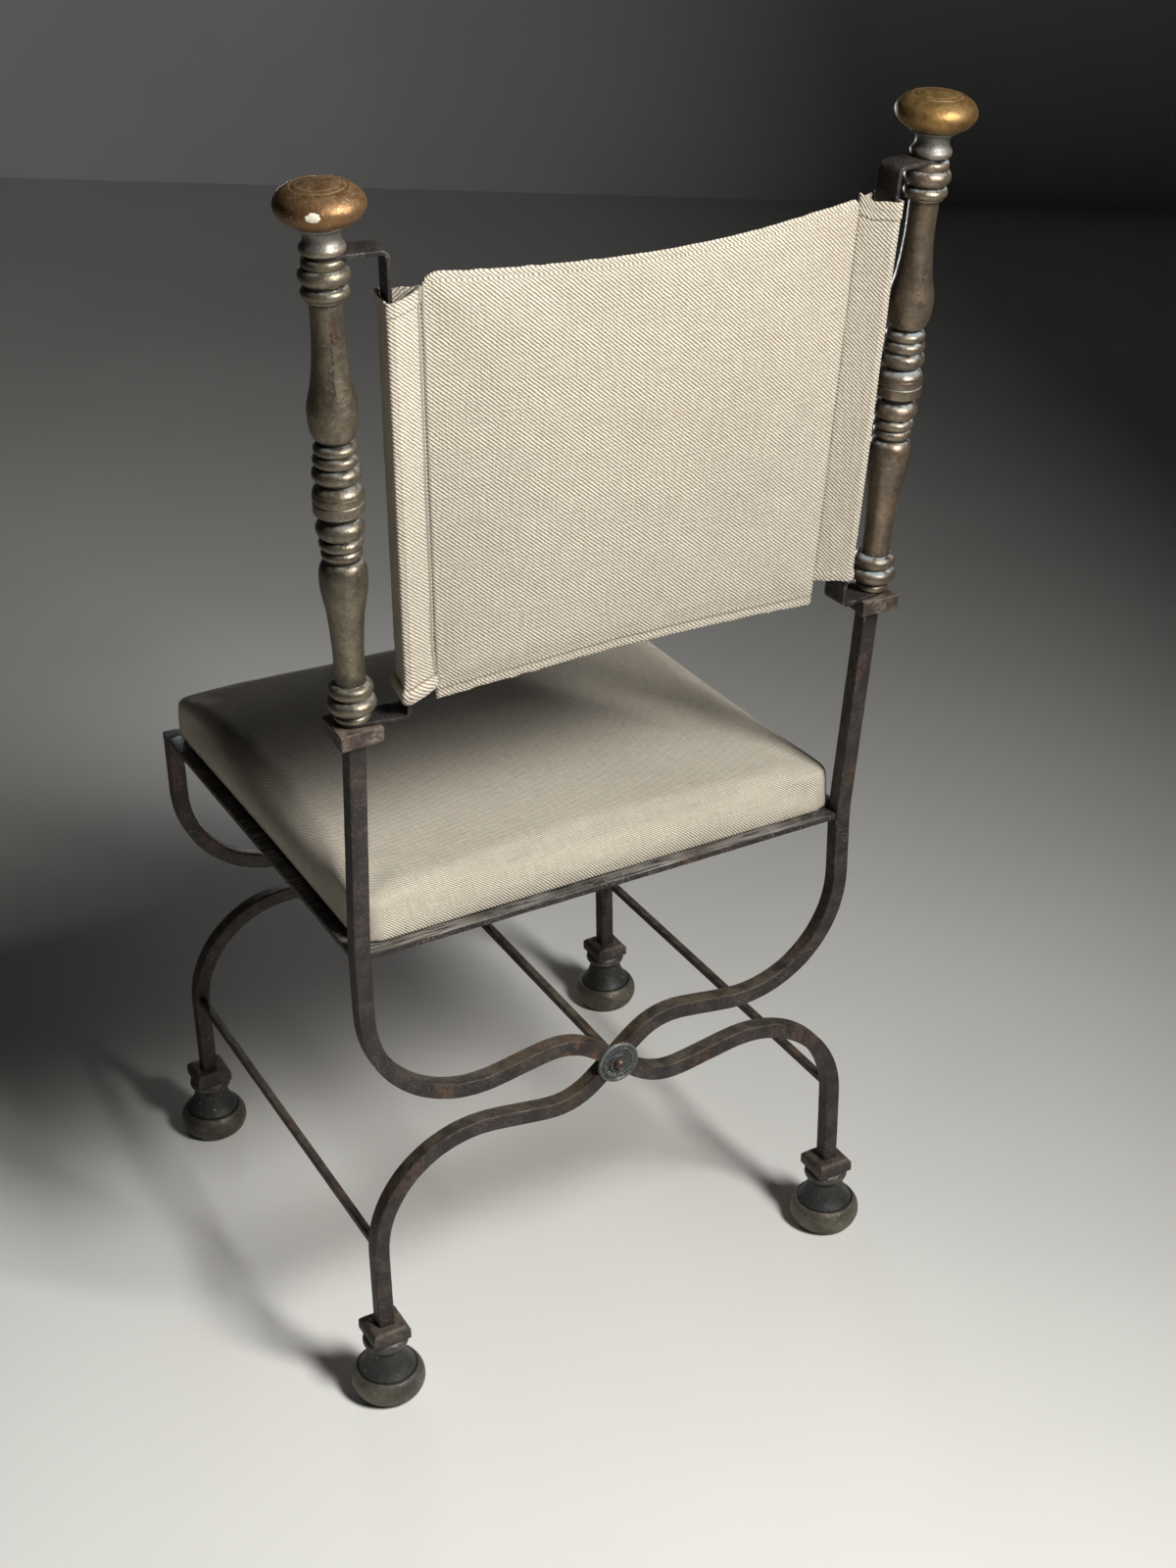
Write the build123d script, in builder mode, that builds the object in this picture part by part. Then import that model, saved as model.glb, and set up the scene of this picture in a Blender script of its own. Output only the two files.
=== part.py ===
from build123d import *
from math import cos, radians, sin, tan
import os

# Savonarola side chair: two forged X-frames of square bar joined by rods and a flat seat frame, turned
# bronze posts above the rear frame, a linen sling back between spring brackets and a loose slip seat.
# Millimetres. The sitter faces -Y and the sitter's left is +X. The origin is on the floor, in the middle.

# ---- frames -----------------------------------------------------------------------------------------
bar = 13.0                  # square iron bar, across the flats
bar_edge = 1.0              # softened long edges of the bar
frame_depth = 395.0         # rear frame to front frame, bar centres
post_spacing = 416.0        # uprights at the seat, bar centres
leg_outset = 2.5            # each leg stands outside the upright over it
rail_top = 416.5            # top of the seat frame
crossing_height = 249.5     # where the two bars of a frame cross
crossing_angle = 40.0       # slope of each bar at the crossing, degrees
crossing_flat = 24.5        # straight stretch on each side of the crossing
hump_radius = 53.0
fall_angle = 9.2            # slope of the bar between hump and bend, degrees
bend_radius = 90.0
lap_clearance = 0.05

# ---- posts ------------------------------------------------------------------------------------------
upright_rake = 7.2          # the bar leans back from the seat up to the plate, degrees
upright_splay = 0.35        # and outwards, degrees
upright_length = 188.4      # from the seat frame to the plate, along the lean
stack_rake = 5.4            # the castings lean back, degrees
stack_splay = 1.7           # and outwards, degrees
plate_size = 31.5
plate_thickness = 12.0
plate_edge = 0.8
tie_rod_diameter = 8.0
running_gap = 0.1           # on the diameter, where the finial turns on the tie rod
casting_gap = 0.8           # on the diameter, inside the hollow castings
turning_gap = 0.2           # under the finial

# ---- sling brackets ---------------------------------------------------------------------------------
bracket_width = 20.0
bracket_thickness = 3.0
bracket_reach = 37.0        # post axis to the middle of the upright strip
bracket_tail = 11.0         # length of the tabs past the post axis
bracket_bend = 4.5          # centreline radius of the two bends
bracket_swing = 10.0        # both brackets are swung towards the back, degrees
tab_corner = 8.0

# ---- lower casting, from the bracket tab to the seam ------------------------------------------------
base_ring_radius = 12.6
base_ring_height = 5.5
base_neck_radius = 11.0
base_neck_height = 1.5
low_bead_radius = 16.8
low_bead_height = 11.4
second_bead_radius = 15.2
second_bead_height = 10.6
bead_root_radius = 11.2
column_radius = 10.4
column_length = 17.0
column_swell_radius = 12.3
column_swell_height = 50.0
shoulder_radius = 15.9
shoulder_height = 76.0      # above the column's foot
shoulder_rise = 15.4        # from the widest place up to the neck
stack_neck_radius = 11.4
stack_neck_height = 1.5
small_bead_radius = 13.6
small_bead_height = 7.1
middle_bead_radius = 14.5
middle_bead_height = 7.75
large_bead_radius = 15.9
large_bead_height = 13.0
drum_radius = 16.6
drum_neck_height = 2.4
drum_flare = 2.8
drum_low_height = 7.6       # drum below the seam

# ---- upper casting, from the seam to the upper tab --------------------------------------------------
seam_groove = 0.5
drum_high_height = 6.3      # drum above the seam
drum_step = 0.4             # fine step where the shoulder starts
drum_shoulder_height = 5.8
upper_neck_height = 1.35
upper_large_radius = 16.0
upper_large_height = 11.0
upper_middle_radius = 14.9
upper_middle_height = 8.2
upper_small_radius = 14.0
upper_small_height = 7.0
vase_foot_radius = 9.8
vase_foot_height = 1.8
vase_radius = 16.2
vase_rise = 18.5            # foot of the vase to its widest place
vase_taper_radius = 12.4
vase_taper_height = 41.0
vase_neck_radius = 10.3
vase_neck_height = 66.0
vase_length = 91.5
collar_step_radius = 13.0
collar_step_height = 1.6
thin_ring_radius = 15.1
thin_ring_height = 7.0
ring_neck_radius = 12.4
ring_neck_height = 1.6
torus_radius = 16.1
torus_height = 10.4
cap_step_radius = 13.6
cap_step_height = 5.6

# ---- finial -----------------------------------------------------------------------------------------
rim_root_radius = 13.2
rim_radius = 14.2
rim_height = 5.2
waist_radius = 11.5
waist_height = 11.5
flange_radius = 17.0
flange_height = 16.6
lip_height = 1.4
knob_root_radius = 16.2
knob_radius = 27.7
knob_low_height = 11.2      # knob below its widest place
knob_high_height = 13.2     # and above it
knob_crown_radius = 17.0    # the turned circle on top
knob_crown_drop = 2.6
crown_groove = 0.6
finial_bore_depth = 27.0

# ---- feet -------------------------------------------------------------------------------------------
collar_size = 32.0
collar_height = 12.0
collar_bevel = 3.0
tenon_diameter = 9.0
tenon_gap = 0.2             # on the diameter
tenon_length = 30.0
foot_height = 57.5
foot_sole_radius = 20.5
foot_radius = 29.8
foot_bulge_height = 14.0
foot_low_radius = 27.8
foot_low_height = 5.6
foot_shoulder_radius = 25.6
foot_shoulder_height = 24.5
foot_groove_radius = 23.2
foot_groove_width = 1.0
bell_radius = 17.0
bell_height = 36.0
bell_neck_radius = 14.2
bell_neck_height = 47.5
foot_bead_radius = 18.5
foot_bead_height = 53.2
foot_top_radius = 15.5

# ---- rods and rosettes ------------------------------------------------------------------------------
rod = 6.4                   # square rod, across the flats
rod_edge = 0.6
stretcher_height = 144.5
stretcher_peg_diameter = 4.6
stretcher_peg_length = 7.0
pivot_diameter = 6.0
pivot_gap = 0.2             # on the diameter
rosette_radius = 17.8
rosette_edge_height = 1.2
rosette_rim_height = 2.9
rosette_rim_width = 1.5
rosette_field_height = 1.8
rosette_ring_radius = 6.2     # inside of the raised ring
rosette_ring_width = 1.4
rosette_ring_height = 3.4
rosette_dish_height = 2.2
boss_radius = 4.4
boss_base_height = 1.6
boss_dome_height = 3.8

# ---- seat -------------------------------------------------------------------------------------------
rail_width = 25.0
rail_thickness = 5.0
rail_setback = 0.6          # rail faces stand back from the bar faces
seat_gap = 0.3              # slip seat above the rails
pad_inset = 8.5             # pad sides in from the outer faces of the frame
pad_height = 40.0
pad_corner = 27.0
pad_edge = 19.0
board_inset = 6.0           # board inside the pad's sides
board_thickness = 10.0
rebate_height = 4.0         # the board's lower part drops between the rails
rebate_clearance = 1.5

# ---- sling ------------------------------------------------------------------------------------------
linen = 1.4
strip_slack = 0.8           # between the bracket and the sleeve
seam_reach = 20.0           # middle of the strip to the seam
sleeve_foot = 10.0          # left sleeve, above the plate
sleeve_length = 285.0
right_sleeve_rise = 9.0     # the right sleeve sits higher on its strip
panel_thickness = 7.0
panel_bow = 8.0
panel_corner_foot = 4.0     # above the plate
panel_corner_top = 304.0
panel_sag_top = 9.0         # the edges curve in towards the middle
panel_sag_foot = 10.0
panel_corner_radius = 18.0
panel_gap = 0.2

# ---- worked out -------------------------------------------------------------------------------------
half_bar = bar / 2
leg_spacing = post_spacing + 2 * leg_outset
half_depth = frame_depth / 2
leg_foot = foot_height + collar_height
tab_level = bracket_thickness
seam_level = (
    tab_level + base_ring_height + base_neck_height + low_bead_height + second_bead_height
    + shoulder_height + shoulder_rise + stack_neck_height + small_bead_height + middle_bead_height
    + large_bead_height + drum_neck_height + drum_flare + drum_low_height
)
vase_level = (
    seam_level + drum_high_height + drum_shoulder_height + upper_neck_height + upper_large_height
    + upper_middle_height + upper_small_height + vase_foot_height
)
upper_tab_level = (
    vase_level + vase_length + collar_step_height + thin_ring_height + ring_neck_height
    + torus_height + cap_step_height
)
finial_level = upper_tab_level + bracket_thickness + turning_gap
knob_level = finial_level + flange_height + lip_height + knob_low_height


def lean(side, rake, splay):
    """Direction that leans back and outwards; side is +1 on the sitter's left and -1 on the right."""
    return Vector(side * tan(radians(splay)), tan(radians(rake)), 1).normalized()


def upright_lean(side):
    """Direction of the bar between the seat and the plate."""
    return lean(side, upright_rake, upright_splay)


def stack_lean(side):
    """Direction of the castings above the plate."""
    return lean(side, stack_rake, stack_splay)


knob_run_back = (
    upright_length * upright_lean(1).Y + (plate_thickness + knob_level) * stack_lean(1).Y
)
rear_reach = half_depth + knob_run_back + knob_radius * cos(radians(stack_rake))
front_reach = half_depth + foot_radius
rear_plane_y = half_depth - (rear_reach - front_reach) / 2
front_plane_y = rear_plane_y - frame_depth


def stack_plane(side, height=0.0):
    """Plane across a post at a height above its plate: x points to the sitter's left, y backwards."""
    axis = stack_lean(side)
    across = Vector(0, 1, 0).cross(axis).normalized()
    root = Vector(side * post_spacing / 2, rear_plane_y, rail_top) + upright_lean(side) * upright_length
    return Plane(origin=root + axis * (plate_thickness + height), x_dir=across, z_dir=axis)


def profile_plane(post):
    """Plane through a post's axis for a turned outline: x is the radius and y the height."""
    return Plane(origin=post.origin, x_dir=post.x_dir, z_dir=-post.y_dir)


def bead(start, height, crest, root):
    """Half-round moulding from a point of the outline up to the next root."""
    x, y = start.X, start.Y
    return ThreePointArc((x, y), (crest, y + height / 2), (root, y + height))


def save(builder, name):
    builder.part.label = name
    export_step(builder.part, f"parts/{name}.step")


os.makedirs("parts", exist_ok=True)


# ---- X-frames ---------------------------------------------------------------------------------------
def bar_half(hand, half_spread, end_height):
    """Half of a bar's centreline, from the crossing out to a vertical end.

    hand is +1 when the half runs towards +x. A half that ends below the crossing is the upper one
    turned about the crossing.
    """
    up = 1 if end_height > 0 else -1
    turn = up * hand
    straight_run = half_spread - (
        crossing_flat * cos(radians(crossing_angle))
        + hump_radius * (sin(radians(crossing_angle)) + sin(radians(fall_angle)))
        + bend_radius * (1 + sin(radians(fall_angle)))
    )
    slope = straight_run / cos(radians(fall_angle))
    start = (
        hand * crossing_flat * cos(radians(crossing_angle)),
        up * crossing_flat * sin(radians(crossing_angle)),
    )
    flat = Line((0, 0), start)
    hump = JernArc(flat @ 1, flat % 1, hump_radius, -turn * (crossing_angle + fall_angle))
    fall = Line(hump @ 1, hump @ 1 + (hump % 1) * slope)
    bend = JernArc(fall @ 1, fall % 1, bend_radius, turn * (90 + fall_angle))
    return Line(bend @ 1, (hand * half_spread, end_height))


def frame_bar(name, plane_y, hand, rear):
    """One S-shaped bar of an X-frame, halved into the other bar where they cross.

    hand is the side of its upper end. A rear bar goes on past the seat and leans back to the plate.
    """
    frame_plane = Plane(origin=(0, plane_y, crossing_height), x_dir=(1, 0, 0), z_dir=(0, -1, 0))
    upper_end = rail_top - crossing_height
    lower_end = leg_foot - crossing_height
    leg_x = -hand * leg_spacing / 2
    with BuildPart() as piece:
        with BuildLine(frame_plane) as centreline:
            bar_half(hand, post_spacing / 2, upper_end)
            bar_half(-hand, leg_spacing / 2, lower_end)
        with BuildSketch(Plane((leg_x, plane_y, leg_foot))):
            RectangleRounded(bar, bar, bar_edge)
        sweep(path=centreline.wires()[0])
        if rear:
            top = stack_plane(hand, -plate_thickness)
            with BuildSketch(Plane((hand * post_spacing / 2, plane_y, rail_top))):
                RectangleRounded(bar, bar, bar_edge)
            extrude(amount=upright_length + bar, dir=upright_lean(hand))
            split(bisect_by=top, keep=Keep.BOTTOM)
        # halving: each bar keeps the half that faces its own side
        lap_y = half_bar / 2 if hand > 0 else -half_bar / 2
        with Locations(Location((0, plane_y + lap_y, crossing_height), (0, hand * crossing_angle, 0))):
            Box(3 * bar, half_bar + 2 * lap_clearance, bar + 2 * lap_clearance, mode=Mode.SUBTRACT)
        with BuildSketch(frame_plane):
            Circle((pivot_diameter + pivot_gap) / 2)
        extrude(amount=bar, both=True, mode=Mode.SUBTRACT)
        # tenon through the collar into the foot
        with BuildSketch(Plane((leg_x, plane_y, leg_foot))):
            Circle(tenon_diameter / 2)
        extrude(amount=-tenon_length)
        # peg hole for the side stretcher, on the inner face of the leg
        facing = -1 if rear else 1
        peg_plane = Plane(origin=(leg_x, plane_y + facing * half_bar, stretcher_height), z_dir=(0, facing, 0))
        with BuildSketch(peg_plane):
            Circle(stretcher_peg_diameter / 2 + pivot_gap / 2)
        extrude(amount=-stretcher_peg_length - pivot_gap, mode=Mode.SUBTRACT)
    save(piece, name)


frame_bar("rear_bar_left_post", rear_plane_y, 1, True)
frame_bar("rear_bar_right_post", rear_plane_y, -1, True)
frame_bar("front_bar_left_post", front_plane_y, 1, False)
frame_bar("front_bar_right_post", front_plane_y, -1, False)

corners = {
    "rear_left": (leg_spacing / 2, rear_plane_y),
    "rear_right": (-leg_spacing / 2, rear_plane_y),
    "front_left": (leg_spacing / 2, front_plane_y),
    "front_right": (-leg_spacing / 2, front_plane_y),
}


# ---- feet -------------------------------------------------------------------------------------------
def leg_collar(name, x, y):
    """Square iron collar with a bevelled top between the leg and the turned foot."""
    with BuildPart() as collar:
        with BuildSketch(Plane((x, y, foot_height))):
            Rectangle(collar_size, collar_size)
        extrude(amount=collar_height)
        chamfer(collar.faces().sort_by(Axis.Z)[-1].edges(), collar_bevel)
        with BuildSketch(Plane((x, y, foot_height))):
            Circle((tenon_diameter + tenon_gap) / 2)
        extrude(amount=collar_height, mode=Mode.SUBTRACT)
    save(collar, f"collar_{name}")


def turned_foot(name, x, y):
    """Turned bronze foot: bun, groove, bell and bead, bored from above for the leg's tenon."""
    bore_radius = (tenon_diameter + tenon_gap) / 2
    bore_floor = leg_foot - tenon_length - tenon_gap
    groove_top = foot_shoulder_height + foot_groove_width
    with BuildPart() as foot:
        with BuildSketch(Plane(origin=(x, y, 0), x_dir=(1, 0, 0), z_dir=(0, -1, 0))):
            with BuildLine():
                sole = Line((0, 0), (foot_sole_radius, 0))
                low = ThreePointArc(
                    sole @ 1, (foot_low_radius, foot_low_height), (foot_radius, foot_bulge_height)
                )
                high = TangentArc(low @ 1, (foot_shoulder_radius, foot_shoulder_height), tangent=(0, 1))
                groove = Polyline(
                    high @ 1,
                    (foot_groove_radius, foot_shoulder_height + foot_groove_width / 2),
                    (foot_groove_radius, groove_top),
                )
                bell = ThreePointArc(groove @ 1, (bell_radius, bell_height), (bell_neck_radius, bell_neck_height))
                bulb = ThreePointArc(
                    bell @ 1, (foot_bead_radius, foot_bead_height), (foot_top_radius, foot_height)
                )
                Polyline(
                    bulb @ 1, (bore_radius, foot_height), (bore_radius, bore_floor), (0, bore_floor), (0, 0)
                )
            make_face()
        revolve(axis=Axis((x, y, 0), (0, 0, 1)))
    save(foot, f"foot_{name}")


for corner, (corner_x, corner_y) in corners.items():
    leg_collar(corner, corner_x, corner_y)
    turned_foot(corner, corner_x, corner_y)


# ---- posts ------------------------------------------------------------------------------------------
casting_bore = (tie_rod_diameter + casting_gap) / 2


def post_plate(name, side):
    """Iron block on top of the upright that carries the tie rod and the castings."""
    base = stack_plane(side, -plate_thickness)
    with BuildPart() as plate:
        with BuildSketch(base):
            Rectangle(plate_size, plate_size)
        extrude(amount=plate_thickness)
        chamfer(plate.edges(), plate_edge)
        with BuildSketch(base):
            Circle(tie_rod_diameter / 2)
        extrude(amount=plate_thickness, mode=Mode.SUBTRACT)
    save(plate, f"post_plate_{name}")


def tie_rod(name, side):
    """Rod that runs up from the plate through both castings and the tabs into the finial."""
    top = finial_level + finial_bore_depth - turning_gap
    with BuildPart() as rod_part:
        with BuildSketch(stack_plane(side, -plate_thickness)):
            Circle(tie_rod_diameter / 2)
        extrude(amount=plate_thickness + top)
    save(rod_part, f"tie_rod_{name}")


def lower_casting(name, side):
    """Lower turned casting: base ring, two beads, column, three beads and the lower part of the drum."""
    post = stack_plane(side, tab_level)
    with BuildPart() as casting:
        with BuildSketch(profile_plane(post)):
            with BuildLine():
                foot = Line((casting_bore, 0), (base_neck_radius, 0))
                ring = bead(foot @ 1, base_ring_height, base_ring_radius, base_neck_radius)
                neck = Line(ring @ 1, ring @ 1 + Vector(0, base_neck_height))
                low = bead(neck @ 1, low_bead_height, low_bead_radius, bead_root_radius)
                second = bead(low @ 1, second_bead_height, second_bead_radius, column_radius)
                column_foot = second @ 1
                column = Line(column_foot, column_foot + Vector(0, column_length))
                swell = Spline(
                    column @ 1,
                    (column_swell_radius, column_foot.Y + column_swell_height),
                    (shoulder_radius, column_foot.Y + shoulder_height),
                    tangents=((0, 1), (0, 1)),
                )
                turn = Spline(
                    swell @ 1,
                    (stack_neck_radius, (swell @ 1).Y + shoulder_rise),
                    tangents=((0, 1), (-1, 0.5)),
                )
                stack_neck = Line(turn @ 1, turn @ 1 + Vector(0, stack_neck_height))
                small = bead(stack_neck @ 1, small_bead_height, small_bead_radius, stack_neck_radius)
                middle = bead(small @ 1, middle_bead_height, middle_bead_radius, stack_neck_radius)
                large = bead(middle @ 1, large_bead_height, large_bead_radius, stack_neck_radius)
                drum_neck = Line(large @ 1, large @ 1 + Vector(0, drum_neck_height))
                flare = Line(drum_neck @ 1, (drum_radius, (drum_neck @ 1).Y + drum_flare))
                drum_top = (flare @ 1).Y + drum_low_height
                Polyline(
                    flare @ 1,
                    (drum_radius, drum_top - seam_groove),
                    (drum_radius - seam_groove, drum_top),
                    (casting_bore, drum_top),
                    (casting_bore, 0),
                )
            make_face()
        revolve(axis=Axis(post.origin, post.z_dir))
    save(casting, f"lower_casting_{name}")


def upper_casting(name, side):
    """Upper turned casting: drum, three beads, long vase, thin ring and torus under the tab."""
    post = stack_plane(side, seam_level)
    with BuildPart() as casting:
        with BuildSketch(profile_plane(post)):
            with BuildLine():
                drum = Polyline(
                    (casting_bore, 0),
                    (drum_radius - seam_groove, 0),
                    (drum_radius, seam_groove),
                    (drum_radius, drum_high_height),
                    (drum_radius - drum_step, drum_high_height),
                )
                over = Spline(
                    drum @ 1,
                    (stack_neck_radius, drum_high_height + drum_shoulder_height),
                    tangents=((0, 1), (-1, 0.5)),
                )
                neck = Line(over @ 1, over @ 1 + Vector(0, upper_neck_height))
                large = bead(neck @ 1, upper_large_height, upper_large_radius, stack_neck_radius)
                middle = bead(large @ 1, upper_middle_height, upper_middle_radius, stack_neck_radius)
                small = bead(middle @ 1, upper_small_height, upper_small_radius, vase_foot_radius)
                foot = Line(small @ 1, small @ 1 + Vector(0, vase_foot_height))
                vase_foot = foot @ 1
                vase = Spline(
                    vase_foot,
                    (vase_radius, vase_foot.Y + vase_rise),
                    (vase_taper_radius, vase_foot.Y + vase_taper_height),
                    (vase_neck_radius, vase_foot.Y + vase_neck_height),
                    (vase_neck_radius, vase_foot.Y + vase_length),
                    tangents=((1, 0.3), (0, 1)),
                )
                steps = Polyline(
                    vase @ 1,
                    (collar_step_radius, (vase @ 1).Y),
                    (collar_step_radius, (vase @ 1).Y + collar_step_height),
                )
                thin = bead(steps @ 1, thin_ring_height, thin_ring_radius, ring_neck_radius)
                ring_neck = Line(thin @ 1, thin @ 1 + Vector(0, ring_neck_height))
                torus = bead(ring_neck @ 1, torus_height, torus_radius, cap_step_radius)
                top = (torus @ 1).Y + cap_step_height
                Polyline(torus @ 1, (cap_step_radius, top), (casting_bore, top), (casting_bore, 0))
            make_face()
        revolve(axis=Axis(post.origin, post.z_dir))
    save(casting, f"upper_casting_{name}")


def finial(name, side):
    """Knob that screws down on the tie rod and clamps the bracket's upper tab."""
    post = stack_plane(side, finial_level)
    bore = (tie_rod_diameter + running_gap) / 2
    with BuildPart() as knob:
        with BuildSketch(profile_plane(post)):
            with BuildLine():
                foot = Line((bore, 0), (rim_root_radius, 0))
                rim = ThreePointArc(foot @ 1, (rim_radius, rim_height / 2), (rim_root_radius, rim_height))
                waist = ThreePointArc(rim @ 1, (waist_radius, waist_height), (flange_radius, flange_height))
                lip = Polyline(
                    waist @ 1,
                    (flange_radius, flange_height + lip_height),
                    (knob_root_radius, flange_height + lip_height),
                )
                middle = (lip @ 1).Y + knob_low_height
                low = Spline(lip @ 1, (knob_radius, middle), tangents=((1, 0.12), (0, 1)))
                crown_y = middle + knob_high_height - knob_crown_drop
                high = Spline(low @ 1, (knob_crown_radius, crown_y), tangents=((0, 1), (-1, 0.22)))
                groove = Polyline(
                    high @ 1,
                    (knob_crown_radius - crown_groove / 2, crown_y - crown_groove),
                    (knob_crown_radius - crown_groove, crown_y),
                )
                crown = TangentArc((0, middle + knob_high_height), groove @ 1, tangent=(1, 0))
                Polyline(crown @ 0, (0, finial_bore_depth), (bore, finial_bore_depth), (bore, 0))
            make_face()
        revolve(axis=Axis(post.origin, post.z_dir))
    save(knob, f"finial_{name}")


def sling_bracket(name, side):
    """Flat bar bent to a C: two tabs on the tie rod and the strip that the sling's sleeve slides on."""
    post = stack_plane(side)
    inward = post.x_dir * -side * cos(radians(bracket_swing)) + post.y_dir * sin(radians(bracket_swing))
    arm = Plane(origin=post.origin, x_dir=inward, z_dir=inward.cross(post.z_dir))
    low = bracket_thickness / 2
    high = upper_tab_level + bracket_thickness / 2
    with BuildPart() as bracket:
        with BuildLine(arm) as centreline:
            FilletPolyline(
                (-bracket_tail, low),
                (bracket_reach, low),
                (bracket_reach, high),
                (-bracket_tail, high),
                radius=bracket_bend,
            )
        path = centreline.wires()[0]
        with BuildSketch(Plane(origin=path @ 0, x_dir=post.z_dir, z_dir=path % 0)):
            Rectangle(bracket_thickness, bracket_width)
        sweep(path=path)
        fillet(bracket.edges().filter_by(Axis(post.origin, post.z_dir)).filter_by(
            lambda edge: edge.length < 2 * bracket_thickness), tab_corner)
        with BuildSketch(post):
            Circle(casting_bore)
        extrude(amount=high + bracket_thickness, mode=Mode.SUBTRACT)
    save(bracket, f"sling_bracket_{name}")


sides = {"left": 1, "right": -1}
for side_name, hand_side in sides.items():
    post_plate(side_name, hand_side)
    tie_rod(side_name, hand_side)
    lower_casting(side_name, hand_side)
    upper_casting(side_name, hand_side)
    finial(side_name, hand_side)
    sling_bracket(side_name, hand_side)


# ---- rods and rosettes ------------------------------------------------------------------------------
def side_stretcher(name, side):
    """Square rod between the front and rear leg of one side, pegged into both."""
    length = frame_depth - bar
    x = side * leg_spacing / 2
    front_face = Plane(origin=(x, front_plane_y + half_bar, stretcher_height), z_dir=(0, 1, 0))
    with BuildPart() as stretcher:
        with BuildSketch(front_face):
            RectangleRounded(rod, rod, rod_edge)
        extrude(amount=length)
        with BuildSketch(front_face.offset(-stretcher_peg_length)):
            Circle(stretcher_peg_diameter / 2)
        extrude(amount=length + 2 * stretcher_peg_length)
    save(stretcher, f"side_stretcher_{name}")


for side_name, hand_side in sides.items():
    side_stretcher(side_name, hand_side)

boss_seat = half_bar + rosette_dish_height
with BuildPart() as pivot_rod:
    pivot_start = Plane(origin=(0, front_plane_y + half_bar, crossing_height), z_dir=(0, 1, 0))
    with BuildSketch(pivot_start):
        RectangleRounded(rod, rod, rod_edge)
    extrude(amount=frame_depth - bar)
    tenon_reach = bar + rosette_dish_height + boss_base_height
    with BuildSketch(pivot_start.offset(-tenon_reach)):
        Circle(pivot_diameter / 2)
    extrude(amount=frame_depth - bar + 2 * tenon_reach)
save(pivot_rod, "pivot_rod")


def rosette(name, plane_y, facing):
    """Round cast rosette over the crossing, with a rim, a field, a raised ring and a dished centre."""
    face = Plane(origin=(0, plane_y + facing * half_bar, crossing_height), x_dir=(1, 0, 0), z_dir=(0, 0, facing))
    hole = (pivot_diameter + pivot_gap) / 2
    ring_out = rosette_ring_radius + rosette_ring_width
    with BuildPart() as disc:
        with BuildSketch(face):
            with BuildLine():
                inner = Polyline(
                    (hole, 0), (hole, rosette_dish_height), (rosette_ring_radius, rosette_dish_height)
                )
                ring = ThreePointArc(
                    inner @ 1,
                    (rosette_ring_radius + rosette_ring_width / 2, rosette_ring_height),
                    (ring_out, rosette_field_height),
                )
                field = Line(ring @ 1, (rosette_radius - 2 * rosette_rim_width, rosette_field_height))
                rim = ThreePointArc(
                    field @ 1,
                    (rosette_radius - rosette_rim_width, rosette_rim_height),
                    (rosette_radius, rosette_edge_height),
                )
                Polyline(rim @ 1, (rosette_radius, 0), (hole, 0))
            make_face()
        revolve(axis=Axis(face.origin, (0, 1, 0)))
    save(disc, f"rosette_{name}")


def pivot_boss(name, plane_y, facing):
    """Domed head closed over the end of the pivot rod."""
    seat_y = plane_y + facing * boss_seat
    face = Plane(origin=(0, seat_y, crossing_height), x_dir=(1, 0, 0), z_dir=(0, 0, facing))
    with BuildPart() as boss:
        with BuildSketch(face):
            with BuildLine():
                base = Polyline((pivot_diameter / 2, 0), (boss_radius, 0), (boss_radius, boss_base_height))
                dome = TangentArc((0, boss_base_height + boss_dome_height), base @ 1, tangent=(1, 0))
                Polyline(
                    dome @ 0,
                    (0, boss_base_height),
                    (pivot_diameter / 2, boss_base_height),
                    (pivot_diameter / 2, 0),
                )
            make_face()
        revolve(axis=Axis(face.origin, (0, 1, 0)))
    save(boss, f"pivot_boss_{name}")


for end_name, end_y, end_facing in (("rear", rear_plane_y, 1), ("front", front_plane_y, -1)):
    rosette(end_name, end_y, end_facing)
    pivot_boss(end_name, end_y, end_facing)

# ---- seat frame -------------------------------------------------------------------------------------
seat_middle_y = (rear_plane_y + front_plane_y) / 2
seat_plane = Plane((0, seat_middle_y, rail_top - rail_thickness))
post_x = post_spacing / 2
rail_outer_x = post_x + half_bar - rail_setback
rail_outer_y = half_depth + half_bar - rail_setback
post_face_x = post_x - half_bar
post_face_y = half_depth - half_bar
rail_inner_x = rail_outer_x - rail_width
rail_inner_y = rail_outer_y - rail_width


def cross_rail(name, facing):
    """Front or rear rail: flat bar between the posts, mitred to the side rails inside them."""
    with BuildPart() as rail:
        with BuildSketch(seat_plane):
            with BuildLine():
                Polyline(
                    (-post_face_x, facing * rail_outer_y),
                    (post_face_x, facing * rail_outer_y),
                    (post_face_x, facing * post_face_y),
                    (rail_inner_x, facing * rail_inner_y),
                    (-rail_inner_x, facing * rail_inner_y),
                    (-post_face_x, facing * post_face_y),
                    close=True,
                )
            make_face()
        extrude(amount=rail_thickness)
    save(rail, f"seat_rail_{name}")


def side_rail(name, side):
    """Side rail: flat bar between the front and rear post, mitred like the cross rails."""
    with BuildPart() as rail:
        with BuildSketch(seat_plane):
            with BuildLine():
                Polyline(
                    (side * rail_outer_x, -post_face_y),
                    (side * rail_outer_x, post_face_y),
                    (side * post_face_x, post_face_y),
                    (side * rail_inner_x, rail_inner_y),
                    (side * rail_inner_x, -rail_inner_y),
                    (side * post_face_x, -post_face_y),
                    close=True,
                )
            make_face()
        extrude(amount=rail_thickness)
    save(rail, f"seat_rail_{name}")


cross_rail("rear", 1)
cross_rail("front", -1)
side_rail("left", 1)
side_rail("right", -1)

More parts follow.
